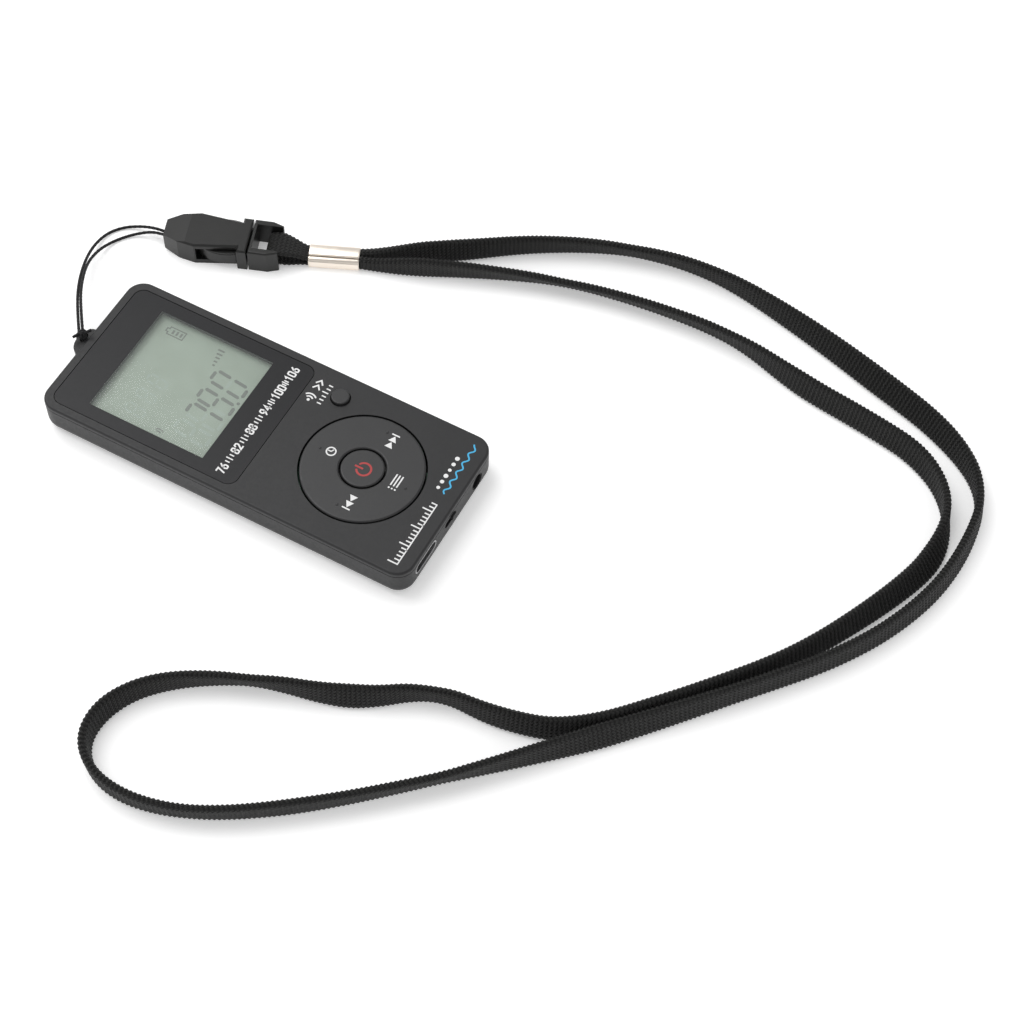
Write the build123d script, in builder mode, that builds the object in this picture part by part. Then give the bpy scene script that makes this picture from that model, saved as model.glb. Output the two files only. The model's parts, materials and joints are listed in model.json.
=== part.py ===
from build123d import *
from math import pi, radians, tan
import os

# Pocket air-band receiver with a neck lanyard, as an assembly of separate pieces.
# Frame: millimetres, origin at the centre of the receiver's underside on the table,
# +X to the receiver's right, +Y towards its lanyard lug, +Z up out of its screen.

os.makedirs("parts", exist_ok=True)

# ---------------------------------------------------------------- driving dimensions
BODY_WIDTH = 40.0
BODY_LENGTH = 94.0
BODY_HEIGHT = 8.8
CORNER_RADIUS = 4.2
BACK_EDGE_RADIUS = 3.0
FACE_EDGE_RADIUS = 0.55
WALL = 1.3
BACK_FLOOR = 1.2
PARTING_Z = 7.6
GROOVE_HEIGHT = 0.2
GROOVE_DEPTH = 0.18
BOTTOM_END_Y = -BODY_LENGTH / 2
TOP_END_Y = BODY_LENGTH / 2

# lens, window and liquid crystal display
LENS_WIDTH = 36.0
LENS_BOTTOM_Y = -2.8
LENS_TOP_Y = 44.95
LENS_CORNER = 2.5
LENS_THICKNESS = 0.8
LENS_GAP = 0.16
WINDOW_WIDTH = 29.3
WINDOW_HEIGHT = 29.65
WINDOW_Y = 21.8
GLASS_TOP_Z = 6.9
GLASS_THICKNESS = 1.1
GLASS_MARGIN = 2.4

# circuit board
PCB_TOP_Z = 5.0
PCB_THICKNESS = 0.8
PCB_WIDTH = 35.2
PCB_LENGTH = 90.0

# keys
PAD_Y = -24.84
PAD_RADIUS = 13.85
PAD_HOLE_RADIUS = 14.25
PAD_TOP_Z = 9.0
PAD_SKIRT_Z = 6.8
PAD_KEY_RADIUS = 10.75
POWER_RADIUS = 4.9
POWER_HOLE_RADIUS = 5.2
BAND_X = 13.75
BAND_Y = -11.05
BAND_RADIUS = 2.1
BAND_TOP_Z = 9.6

# sockets and switch in the bottom end
USB_X = -11.05
USB_Z = 5.5
JACK_X = 11.5
JACK_Z = 4.9
JACK_BORE_RADIUS = 1.8
SWITCH_X = -0.4
SWITCH_Z = 5.75
SWITCH_TRAVEL = 2.4

# lanyard lug on the top end
LUG_X = -0.6
LUG_HALF_WIDTH = 3.8
LUG_REACH = 2.4
LUG_BOTTOM_Z = 5.4
LUG_TOP_Z = 8.3
LUG_HOLE_Y = TOP_END_Y + 1.05

# side-release buckle, in its own frame: local x runs from nose to strap
BUCKLE_HEIGHT = 6.4
BUCKLE_CENTRE = (44.3, 33.4)
BUCKLE_DIRECTION = (0.345, -0.939)
NOSE_X = -19.2
COLLAR_BACK_X = -1.2
COLLAR_FRONT_X = 1.1
MALE_FACE_X = 1.5
BAR_X = 7.0
BAR_RADIUS = 0.75
MID_Z = BUCKLE_HEIGHT / 2

# strap, crimp and thin cord
STRAP_THICKNESS = 1.8
STRAP_WIDTH = 6.4
CRIMP_START = (49.5, 19.25)
CRIMP_DIRECTION = (0.41, -0.912)
CRIMP_LENGTH = 12.0
CRIMP_WIDTH = 5.4
CRIMP_HEIGHT = 3.4
CRIMP_WALL = 0.4
CORD_RADIUS = 0.36

# four self-tapping screws close the case, two more hold the board to the front
CASE_SCREW_SPOTS = [(-15.2, 42.2), (15.2, 42.2), (-15.2, -33.2), (15.2, -33.2)]
BOARD_SCREW_SPOTS = [(-15.6, -3.4), (15.6, -3.4)]
SCREW_RADIUS = 0.8
PILOT_RADIUS = 0.85

buckle_plane = Plane(origin=(*BUCKLE_CENTRE, 0), x_dir=(*BUCKLE_DIRECTION, 0), z_dir=(0, 0, 1))
crimp_plane = Plane(origin=(*CRIMP_START, 0), x_dir=(*CRIMP_DIRECTION, 0), z_dir=(0, 0, 1))
bottom_end = Plane(origin=(0, BOTTOM_END_Y, 0), x_dir=(1, 0, 0), z_dir=(0, -1, 0))
LUG_SKETCH_SPOT = (LUG_X, TOP_END_Y)
PCB_BOTTOM_Z = PCB_TOP_Z - PCB_THICKNESS
LENS_Z = BODY_HEIGHT - LENS_THICKNESS
LENS_Y = (LENS_BOTTOM_Y + LENS_TOP_Y) / 2
LENS_LENGTH = LENS_TOP_Y - LENS_BOTTOM_Y
GLASS_WIDTH = WINDOW_WIDTH + 2 * GLASS_MARGIN
GLASS_HEIGHT = WINDOW_HEIGHT + 2 * GLASS_MARGIN
GLASS_BOTTOM_Z = GLASS_TOP_Z - GLASS_THICKNESS


def corner_radii(points):
    """Largest tangent arc for each corner of a route: 0.45 of the shorter run."""
    spots = [Vector(*point) for point in points]
    radii = []
    for before, corner, after in zip(spots, spots[1:], spots[2:]):
        run_in = corner - before
        run_out = after - corner
        half_turn = radians(run_in.get_angle(run_out)) / 2
        radii.append(0.45 * min(run_in.length, run_out.length) / tan(half_turn))
    return radii


# ---------------------------------------------------------------- case
with BuildPart() as back_shell:
    with BuildSketch(Plane.XY):
        RectangleRounded(BODY_WIDTH, BODY_LENGTH, CORNER_RADIUS)
    extrude(amount=PARTING_Z - GROOVE_HEIGHT)
    fillet(back_shell.edges().group_by(Axis.Z)[0], BACK_EDGE_RADIUS)
    # the rim steps in a little, which leaves a fine groove under the front shell
    with BuildSketch(Plane.XY.offset(PARTING_Z - GROOVE_HEIGHT)):
        RectangleRounded(BODY_WIDTH - 2 * GROOVE_DEPTH, BODY_LENGTH - 2 * GROOVE_DEPTH, CORNER_RADIUS - GROOVE_DEPTH)
    extrude(amount=GROOVE_HEIGHT)
    with BuildSketch(Plane.XY.offset(LUG_BOTTOM_Z)):
        with Locations(LUG_SKETCH_SPOT):
            Ellipse(LUG_HALF_WIDTH, LUG_REACH)
    extrude(amount=PARTING_Z - LUG_BOTTOM_Z)
    with BuildSketch(Plane.XY.offset(BACK_FLOOR)):
        RectangleRounded(BODY_WIDTH - 2 * WALL, BODY_LENGTH - 2 * WALL, CORNER_RADIUS - WALL)
    extrude(amount=PARTING_Z, mode=Mode.SUBTRACT)
    # ribs round the battery bay
    with BuildSketch(Plane.XY.offset(BACK_FLOOR)):
        with Locations((0, WINDOW_Y)):
            RectangleRounded(31.2, 38.2, 1.2)
            RectangleRounded(29.6, 36.6, 0.8, mode=Mode.SUBTRACT)
        with Locations((6, WINDOW_Y - 19)):
            Rectangle(6, 3, mode=Mode.SUBTRACT)
    extrude(amount=2.2)
    # screw posts under the board
    with BuildSketch(Plane.XY.offset(BACK_FLOOR)):
        with Locations(*CASE_SCREW_SPOTS):
            Circle(1.9)
    extrude(amount=PCB_BOTTOM_Z - BACK_FLOOR)
    with BuildSketch(Plane.XY):
        with Locations(*CASE_SCREW_SPOTS):
            Circle(SCREW_RADIUS + 0.12)
    extrude(amount=PCB_BOTTOM_Z, mode=Mode.SUBTRACT)
    with BuildSketch(Plane.XY):
        with Locations(*CASE_SCREW_SPOTS):
            Circle(1.65)
    extrude(amount=1.6, mode=Mode.SUBTRACT)
    # openings in the bottom end: charging port, hold switch, headphone jack
    with BuildSketch(bottom_end):
        with Locations((USB_X, USB_Z)):
            SlotOverall(9.2, 3.4)
        with Locations((SWITCH_X, SWITCH_Z)):
            SlotOverall(4.7, 1.9)
        with Locations((JACK_X, JACK_Z)):
            Circle(2.1)
    extrude(amount=-2 * WALL, mode=Mode.SUBTRACT)
    with BuildSketch(Plane.XY.offset(LUG_BOTTOM_Z - 1)):
        with Locations((LUG_X + 0.6, LUG_HOLE_Y)):
            SlotOverall(2.6, 1.1)
    extrude(amount=PARTING_Z, mode=Mode.SUBTRACT)
back_shell.part.label = "back_shell"

with BuildPart() as front_shell:
    with BuildSketch(Plane.XY.offset(PARTING_Z)):
        RectangleRounded(BODY_WIDTH, BODY_LENGTH, CORNER_RADIUS)
    extrude(amount=BODY_HEIGHT - PARTING_Z)
    fillet(front_shell.edges().group_by(Axis.Z)[-1], FACE_EDGE_RADIUS)
    with BuildSketch(Plane.XY.offset(PARTING_Z)):
        with Locations(LUG_SKETCH_SPOT):
            Ellipse(LUG_HALF_WIDTH, LUG_REACH)
    extrude(amount=LUG_TOP_Z - PARTING_Z)
    # skirt that locates inside the back shell, open at the sockets
    with BuildSketch(Plane.XY.offset(PARTING_Z)):
        RectangleRounded(37.2, 91.2, 2.8)
        RectangleRounded(35.8, 89.8, 2.1, mode=Mode.SUBTRACT)
        with Locations((0, BOTTOM_END_Y + 2)):
            Rectangle(33, 3, mode=Mode.SUBTRACT)
    extrude(amount=-1.1)
    # collar round the display window
    with BuildSketch(Plane.XY.offset(PARTING_Z)):
        with Locations((0, WINDOW_Y)):
            Rectangle(WINDOW_WIDTH + 2.4, WINDOW_HEIGHT + 2.4)
    extrude(amount=GLASS_TOP_Z + 0.25 - PARTING_Z)
    # screw bosses
    with BuildSketch(Plane.XY.offset(PCB_TOP_Z)):
        with Locations(*CASE_SCREW_SPOTS, *BOARD_SCREW_SPOTS):
            Circle(1.5)
    extrude(amount=PARTING_Z - PCB_TOP_Z)
    with BuildSketch(Plane.XY.offset(PCB_TOP_Z)):
        with Locations(*CASE_SCREW_SPOTS, *BOARD_SCREW_SPOTS):
            Circle(PILOT_RADIUS)
    extrude(amount=2.4, mode=Mode.SUBTRACT)
    # recess for the lens, then the openings
    with BuildSketch(Plane.XY.offset(LENS_Z)):
        with Locations((0, LENS_Y)):
            RectangleRounded(LENS_WIDTH, LENS_LENGTH, LENS_CORNER)
    extrude(amount=LENS_THICKNESS, mode=Mode.SUBTRACT)
    with BuildSketch(Plane.XY.offset(PCB_TOP_Z)):
        with Locations((0, WINDOW_Y)):
            Rectangle(WINDOW_WIDTH + 0.7, WINDOW_HEIGHT + 0.7)
        with Locations((0, PAD_Y)):
            Circle(PAD_HOLE_RADIUS)
        with Locations((BAND_X, BAND_Y)):
            Circle(BAND_RADIUS + 0.22)
        with Locations((LUG_X + 0.6, LUG_HOLE_Y)):
            SlotOverall(2.6, 1.1)
    extrude(amount=BODY_HEIGHT, mode=Mode.SUBTRACT)
front_shell.part.label = "front_shell"

# ---------------------------------------------------------------- display
with BuildPart() as lens_panel:
    with BuildSketch(Plane.XY.offset(LENS_Z)):
        with Locations((0, LENS_Y)):
            RectangleRounded(LENS_WIDTH - 2 * LENS_GAP, LENS_LENGTH - 2 * LENS_GAP, LENS_CORNER - LENS_GAP)
        with Locations((0, WINDOW_Y)):
            Rectangle(WINDOW_WIDTH, WINDOW_HEIGHT, mode=Mode.SUBTRACT)
    extrude(amount=LENS_THICKNESS - 0.04)
lens_panel.part.label = "lens_panel"

with BuildPart() as display_window:
    with BuildSketch(Plane.XY.offset(LENS_Z)):
        with Locations((0, WINDOW_Y)):
            Rectangle(WINDOW_WIDTH - 0.06, WINDOW_HEIGHT - 0.06)
    extrude(amount=LENS_THICKNESS - 0.04)
display_window.part.label = "display_window"

with BuildPart() as display_gasket:
    with BuildSketch(Plane.XY.offset(GLASS_TOP_Z)):
        with Locations((0, WINDOW_Y)):
            Rectangle(WINDOW_WIDTH + 2.2, WINDOW_HEIGHT + 2.2)
            Rectangle(WINDOW_WIDTH + 0.9, WINDOW_HEIGHT + 0.9, mode=Mode.SUBTRACT)
    extrude(amount=0.25)
display_gasket.part.label = "display_gasket"

with BuildPart() as display_glass:
    with BuildSketch(Plane.XY.offset(GLASS_BOTTOM_Z)):
        with Locations((0, WINDOW_Y)):
            Rectangle(GLASS_WIDTH, GLASS_HEIGHT)
    extrude(amount=GLASS_THICKNESS)
display_glass.part.label = "display_glass"

with BuildPart() as display_backlight:
    with BuildSketch(Plane.XY.offset(PCB_TOP_Z + 0.1)):
        with Locations((0, WINDOW_Y)):
            Rectangle(GLASS_WIDTH - 0.4, GLASS_HEIGHT - 0.4)
    extrude(amount=GLASS_BOTTOM_Z - PCB_TOP_Z - 0.15)
display_backlight.part.label = "display_backlight"

with BuildPart() as display_holder:
    with BuildSketch(Plane.XY.offset(PCB_TOP_Z)):
        with Locations((0, WINDOW_Y)):
            Rectangle(GLASS_WIDTH + 1.2, GLASS_HEIGHT + 1.2)
            Rectangle(GLASS_WIDTH + 0.1, GLASS_HEIGHT + 0.1, mode=Mode.SUBTRACT)
    extrude(amount=GLASS_TOP_Z - PCB_TOP_Z - 0.1)
display_holder.part.label = "display_holder"

PIN_COUNT = 18
PIN_PITCH = 1.27
PIN_Y = WINDOW_Y - GLASS_HEIGHT / 2 - 1.0
with BuildPart() as display_pins:
    with BuildSketch(Plane.XY.offset(PCB_TOP_Z)):
        with Locations((0, PIN_Y)):
            with GridLocations(PIN_PITCH, 1, PIN_COUNT, 1):
                Rectangle(0.35, 0.35)
    extrude(amount=1.5)
display_pins.part.label = "display_pins"

# ---------------------------------------------------------------- circuit board
with BuildPart() as main_board:
    with BuildSketch(Plane.XY.offset(PCB_BOTTOM_Z)):
        RectangleRounded(PCB_WIDTH, PCB_LENGTH, 2.0)
        with Locations((USB_X, BOTTOM_END_Y + 5)):
            Rectangle(9.3, 7.4, mode=Mode.SUBTRACT)
        with Locations((JACK_X, BOTTOM_END_Y + 7.3)):
            Rectangle(6.9, 13.4, mode=Mode.SUBTRACT)
        with Locations(*CASE_SCREW_SPOTS, *BOARD_SCREW_SPOTS):
            Circle(SCREW_RADIUS + 0.15, mode=Mode.SUBTRACT)
    extrude(amount=PCB_THICKNESS)
main_board.part.label = "main_board"

with BuildPart() as tuner_chip:
    with BuildSketch(Plane.XY.offset(PCB_TOP_Z)):
        with Locations((-9.5, -5.6)):
            Rectangle(4.0, 4.0)
    extrude(amount=0.9)
    chamfer(tuner_chip.faces().sort_by(Axis.Z)[-1].edges(), 0.1)
tuner_chip.part.label = "tuner_chip"

CHIP_SPOT = (0.2, -4.4)
with BuildPart() as control_chip:
    with BuildSketch(Plane.XY.offset(PCB_TOP_Z + 0.1)):
        with Locations(CHIP_SPOT):
            Rectangle(7.0, 7.0)
    extrude(amount=1.2)
    chamfer(control_chip.faces().sort_by(Axis.Z)[-1].edges(), 0.15)
    # leads on all four sides
    with BuildSketch(Plane.XY.offset(PCB_TOP_Z)):
        with Locations(CHIP_SPOT):
            with GridLocations(8.0, 0.8, 2, 8):
                Rectangle(1.2, 0.3)
            with GridLocations(0.8, 8.0, 8, 2):
                Rectangle(0.3, 1.2)
    extrude(amount=0.25)
control_chip.part.label = "control_chip"

with BuildPart() as audio_chip:
    with BuildSketch(Plane.XY.offset(PCB_BOTTOM_Z)):
        with Locations((5.0, -26.0)):
            Rectangle(5.0, 4.0)
    extrude(amount=-1.2)
    chamfer(audio_chip.faces().sort_by(Axis.Z)[0].edges(), 0.12)
audio_chip.part.label = "audio_chip"

with BuildPart() as clock_crystal:
    with BuildSketch(Plane.XY.offset(PCB_TOP_Z)):
        with Locations((8.4, -3.0)):
            RectangleRounded(3.2, 6.4, 1.2)
    extrude(amount=1.3)
    fillet(clock_crystal.faces().sort_by(Axis.Z)[-1].edges(), 0.3)
clock_crystal.part.label = "clock_crystal"

# rows of small resistors and capacitors: centre, count along X, count along Y
CHIP_PART_ROWS = [((-14.6, -9.0), 2, 3), ((-5.6, 0.9), 5, 1), ((11.4, 0.9), 2, 1)]
with BuildPart() as small_components:
    with BuildSketch(Plane.XY.offset(PCB_TOP_Z)):
        for centre, columns, rows in CHIP_PART_ROWS:
            with Locations(centre):
                with GridLocations(1.8, 1.5, columns, rows):
                    Rectangle(1.2, 0.7)
    extrude(amount=0.5)
small_components.part.label = "small_components"

# flat ferrite aerial under the board, wound with one coil
FERRITE_Y = -13.5
FERRITE_Z = 2.68
with BuildPart() as ferrite_rod:
    with BuildSketch(Plane.YZ.offset(-15)):
        with Locations((FERRITE_Y, FERRITE_Z)):
            RectangleRounded(6.0, 2.2, 0.5)
    extrude(amount=30)
ferrite_rod.part.label = "ferrite_rod"

with BuildPart() as aerial_coil:
    with BuildSketch(Plane.YZ.offset(-6)):
        with Locations((FERRITE_Y, FERRITE_Z)):
            RectangleRounded(6.8, 2.9, 0.8)
            RectangleRounded(6.04, 2.24, 0.5, mode=Mode.SUBTRACT)
    extrude(amount=12)
aerial_coil.part.label = "aerial_coil"

# ---------------------------------------------------------------- power
BATTERY_Z = 1.45
with BuildPart() as battery_pad:
    with BuildSketch(Plane.XY.offset(BACK_FLOOR)):
        with Locations((0, WINDOW_Y)):
            Rectangle(20, 26)
    extrude(amount=BATTERY_Z - BACK_FLOOR)
battery_pad.part.label = "battery_pad"

with BuildPart() as battery_cell:
    with BuildSketch(Plane.XY.offset(BATTERY_Z)):
        with Locations((0, WINDOW_Y)):
            RectangleRounded(28, 35, 1.0)
    extrude(amount=2.6)
    fillet(battery_cell.faces().sort_by(Axis.Z)[-1].edges(), 0.6)
battery_cell.part.label = "battery_cell"

PLUG_SPOT = (10.0, -4.0)
with BuildPart() as battery_plug:
    with BuildSketch(Plane.XY.offset(PCB_BOTTOM_Z)):
        with Locations(PLUG_SPOT):
            Rectangle(4.4, 3.6)
    extrude(amount=-2.4)
battery_plug.part.label = "battery_plug"

LEAD_Z = 3.0
LEAD_RADIUS = 0.4
LEAD_OFFSETS = (-0.7, 0.7)
with BuildPart() as battery_leads:
    for offset_x in LEAD_OFFSETS:
        start = (6.0 + offset_x, WINDOW_Y - 17.5, LEAD_Z)
        end = (PLUG_SPOT[0] + offset_x, PLUG_SPOT[1] + 1.8, LEAD_Z)
        with BuildLine() as lead_route:
            FilletPolyline(start, (start[0], start[1] - 2.2, LEAD_Z), (end[0], end[1] + 1.8, LEAD_Z), end,
                           radius=[1.6, 1.4])
        with BuildSketch(Plane(origin=lead_route.line @ 0, z_dir=lead_route.line % 0)):
            Circle(LEAD_RADIUS)
        sweep()
battery_leads.part.label = "battery_leads"

# ---------------------------------------------------------------- sockets and switch
with BuildPart() as usb_shell:
    with BuildSketch(bottom_end):
        with Locations((USB_X, USB_Z)):
            SlotOverall(8.94, 3.2)
            SlotOverall(8.3, 2.56, mode=Mode.SUBTRACT)
    extrude(amount=-7.5)
    with BuildSketch(bottom_end.offset(-7.1)):
        with Locations((USB_X, USB_Z)):
            SlotOverall(8.94, 3.2)
    extrude(amount=-0.5)
usb_shell.part.label = "usb_shell"

with BuildPart() as usb_tongue:
    with BuildSketch(bottom_end.offset(-1.5)):
        with Locations((USB_X, USB_Z)):
            Rectangle(6.7, 0.7)
    extrude(amount=-5.6)
usb_tongue.part.label = "usb_tongue"

JACK_LENGTH = 9.4
JACK_NOZZLE = 1.2
with BuildPart() as headphone_jack:
    with BuildSketch(bottom_end.offset(-WALL - 0.1)):
        with Locations((JACK_X, JACK_Z)):
            Rectangle(6.0, 4.2)
    extrude(amount=-JACK_LENGTH)
    with BuildSketch(bottom_end.offset(-WALL - 0.1)):
        with Locations((JACK_X, JACK_Z)):
            Circle(2.02)
    extrude(amount=JACK_NOZZLE)
    with BuildSketch(bottom_end.offset(-WALL - 0.1 + JACK_NOZZLE)):
        with Locations((JACK_X, JACK_Z)):
            Circle(JACK_BORE_RADIUS)
    extrude(amount=-JACK_LENGTH - JACK_NOZZLE, mode=Mode.SUBTRACT)
headphone_jack.part.label = "headphone_jack"

with BuildPart() as jack_contacts:
    with BuildSketch(Plane.XY.offset(PCB_BOTTOM_Z - 0.4)):
        for side in (-1, 1):
            with Locations((JACK_X + side * 3.2, BOTTOM_END_Y + 6)):
                with GridLocations(1, 3.0, 1, 2):
                    Rectangle(0.3, 1.4)
    extrude(amount=1.6)
jack_contacts.part.label = "jack_contacts"

SWITCH_BODY_Y = BOTTOM_END_Y + 1.5
with BuildPart() as hold_switch_body:
    with BuildSketch(Plane.XY.offset(PCB_TOP_Z)):
        with Locations((SWITCH_X, SWITCH_BODY_Y + 1.4)):
            Rectangle(6.6, 2.8)
    extrude(amount=1.5)
    # slot that the tang of the knob runs in
    with BuildSketch(Plane.XY.offset(SWITCH_Z - 0.45)):
        with Locations((SWITCH_X, SWITCH_BODY_Y + 0.5)):
            Rectangle(4.4, 1.4)
    extrude(amount=0.9, mode=Mode.SUBTRACT)
hold_switch_body.part.label = "hold_switch_body"

KNOB_X = SWITCH_X + SWITCH_TRAVEL / 2
KNOB_REACH = 0.45
with BuildPart() as hold_switch_knob:
    with BuildSketch(bottom_end.offset(KNOB_REACH)):
        with Locations((KNOB_X, SWITCH_Z)):
            RectangleRounded(1.7, 1.5, 0.3)
    extrude(amount=-1.4 - KNOB_REACH)
    with BuildSketch(bottom_end.offset(-1.3)):
        with Locations((KNOB_X, SWITCH_Z)):
            Rectangle(1.0, 0.6)
    extrude(amount=-1.2)
    # finger grooves across the knob
    with BuildSketch(bottom_end.offset(KNOB_REACH)):
        with Locations((KNOB_X, SWITCH_Z)):
            with GridLocations(0.5, 1, 3, 1):
                Rectangle(0.2, 1.1)
    extrude(amount=-0.2, mode=Mode.SUBTRACT)
hold_switch_knob.part.label = "hold_switch_knob"

# ---------------------------------------------------------------- keys
pad_axis = Axis((0, PAD_Y, 0), (0, 0, 1))
pad_section = Plane(origin=(0, PAD_Y, 0), x_dir=(1, 0, 0), z_dir=(0, -1, 0))
with BuildPart() as four_way_key:
    with BuildSketch(pad_section):
        with BuildLine():
            Polyline(
                (POWER_HOLE_RADIUS, 7.2), (POWER_HOLE_RADIUS, PAD_TOP_Z), (PAD_RADIUS, PAD_TOP_Z),
                (PAD_RADIUS, PAD_SKIRT_Z), (12.4, PAD_SKIRT_Z), (12.4, 7.2), close=True,
            )
        make_face()
    revolve(axis=pad_axis)
    fillet(four_way_key.faces().sort_by(Axis.Z)[-1].edges(), 0.45)
    # tabs under the front shell hold the key in
    with BuildSketch(Plane.XY.offset(PAD_SKIRT_Z)):
        with Locations((0, PAD_Y)):
            with PolarLocations(13.9, 4):
                Rectangle(2.0, 3.4)
    extrude(amount=0.35)
    # pips over the four domes, and a raised dot for each direction
    with BuildSketch(Plane.XY.offset(5.7)):
        with Locations((0, PAD_Y)):
            with PolarLocations(PAD_KEY_RADIUS, 4):
                Circle(0.9)
    extrude(amount=1.6)
    with Locations((0, PAD_Y, PAD_TOP_Z - 0.2)):
        with PolarLocations(PAD_KEY_RADIUS, 4):
            Sphere(0.4)
four_way_key.part.label = "four_way_key"

with BuildPart() as key_cradle:
    with BuildSketch(Plane.XY.offset(6.5)):
        with Locations((0, PAD_Y)):
            Circle(9.0)
            Circle(6.2, mode=Mode.SUBTRACT)
    extrude(amount=0.4)
key_cradle.part.label = "key_cradle"

with BuildPart() as power_button:
    with BuildSketch(pad_section):
        with BuildLine():
            Polyline(
                (0, 5.7), (1.2, 5.7), (1.2, 6.4), (5.7, 6.4), (5.7, 6.9),
                (POWER_RADIUS, 6.9), (POWER_RADIUS, PAD_TOP_Z), (0, PAD_TOP_Z), close=True,
            )
        make_face()
    revolve(axis=pad_axis)
    fillet(power_button.faces().sort_by(Axis.Z)[-1].edges(), 0.4)
power_button.part.label = "power_button"

with BuildPart() as band_button:
    with BuildSketch(Plane.XY.offset(5.8)):
        with Locations((BAND_X, BAND_Y)):
            Circle(0.9)
    extrude(amount=0.6)
    with BuildSketch(Plane.XY.offset(6.3)):
        with Locations((BAND_X, BAND_Y)):
            Circle(2.9)
    extrude(amount=0.6)
    with BuildSketch(Plane.XY.offset(6.9)):
        with Locations((BAND_X, BAND_Y)):
            Circle(BAND_RADIUS)
    extrude(amount=BAND_TOP_Z - 6.9)
    fillet(band_button.faces().sort_by(Axis.Z)[-1].edges(), 0.3)
band_button.part.label = "band_button"

DOME_HEIGHT = 0.35
with BuildPart() as key_domes:
    with Locations((0, PAD_Y, PCB_TOP_Z)):
        with PolarLocations(PAD_KEY_RADIUS, 4):
            Cone(2.1, 1.1, DOME_HEIGHT, align=(Align.CENTER, Align.CENTER, Align.MIN))
    with Locations((0, PAD_Y, PCB_TOP_Z), (BAND_X, BAND_Y, PCB_TOP_Z)):
        Cone(2.1, 1.1, DOME_HEIGHT, align=(Align.CENTER, Align.CENTER, Align.MIN))
key_domes.part.label = "key_domes"

# ---------------------------------------------------------------- fasteners
with BuildPart() as case_screws:
    with BuildSketch(Plane.XY.offset(0.45)):
        with Locations(*CASE_SCREW_SPOTS):
            Circle(1.5)
    extrude(amount=1.15)
    with BuildSketch(Plane.XY.offset(0.45)):
        with Locations(*CASE_SCREW_SPOTS):
            Rectangle(1.5, 0.35)
            Rectangle(0.35, 1.5)
    extrude(amount=0.5, mode=Mode.SUBTRACT)
    with BuildSketch(Plane.XY.offset(1.5)):
        with Locations(*CASE_SCREW_SPOTS):
            Circle(SCREW_RADIUS)
    extrude(amount=5.6)
case_screws.part.label = "case_screws"

with BuildPart() as board_screws:
    with BuildSketch(Plane.XY.offset(PCB_BOTTOM_Z)):
        with Locations(*BOARD_SCREW_SPOTS):
            Circle(1.4)
    extrude(amount=-0.7)
    with BuildSketch(Plane.XY.offset(PCB_BOTTOM_Z)):
        with Locations(*BOARD_SCREW_SPOTS):
            Circle(SCREW_RADIUS)
    extrude(amount=2.9)
board_screws.part.label = "board_screws"

# ---------------------------------------------------------------- buckle
PLATE_THICKNESS = 1.3
MOUTH_HALF_WIDTH = 3.65
with BuildPart() as buckle_female:
    # outline from the nose over the shoulders, the side windows and the collar
    with BuildSketch(buckle_plane):
        with BuildLine():
            Polyline(
                (NOSE_X, 0), (NOSE_X, 2.4), (-15.5, 4.2), (-11.4, 5.1), (COLLAR_BACK_X, 3.8),
                (COLLAR_BACK_X, 5.2), (COLLAR_FRONT_X, 5.2), (COLLAR_FRONT_X, 0),
            )
            mirror(about=Plane.XZ)
        make_face()
    extrude(amount=BUCKLE_HEIGHT)
    chamfer(buckle_female.faces().sort_by(Axis.Z)[-1].edges(), 0.4)
    # the nose slopes down from the shoulders, above and below
    with BuildSketch(Plane(origin=buckle_plane.origin, x_dir=buckle_plane.x_dir, z_dir=-buckle_plane.y_dir)):
        with BuildLine():
            Polyline((-20, 5.3), (-13.5, BUCKLE_HEIGHT + 0.01), (-20, BUCKLE_HEIGHT + 0.01), close=True)
        make_face()
        with BuildLine():
            Polyline((-20, 0.9), (-14.5, -0.01), (-20, -0.01), close=True)
        make_face()
    extrude(amount=8, both=True, mode=Mode.SUBTRACT)
    # pocket for the prongs, open at the collar and through both side windows
    with BuildSketch(buckle_plane.offset(PLATE_THICKNESS)):
        with BuildLine():
            Polyline(
                (-13.6, 0), (-13.6, 3.0), (-11.0, 3.4), (-11.0, 6.5), (COLLAR_BACK_X, 6.5),
                (COLLAR_BACK_X, MOUTH_HALF_WIDTH), (COLLAR_FRONT_X + 1, MOUTH_HALF_WIDTH), (COLLAR_FRONT_X + 1, 0),
            )
            mirror(about=Plane.XZ)
        make_face()
    extrude(amount=BUCKLE_HEIGHT - 2 * PLATE_THICKNESS, mode=Mode.SUBTRACT)
    # slot in the nose for the thin cord
    with BuildSketch(Plane(origin=buckle_plane.from_local_coords((-20, 0, 3.0)), x_dir=buckle_plane.y_dir,
                           z_dir=buckle_plane.x_dir)):
        SlotOverall(2.8, 1.3)
    extrude(amount=3.8, mode=Mode.SUBTRACT)
buckle_female.part.label = "buckle_female"

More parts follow.
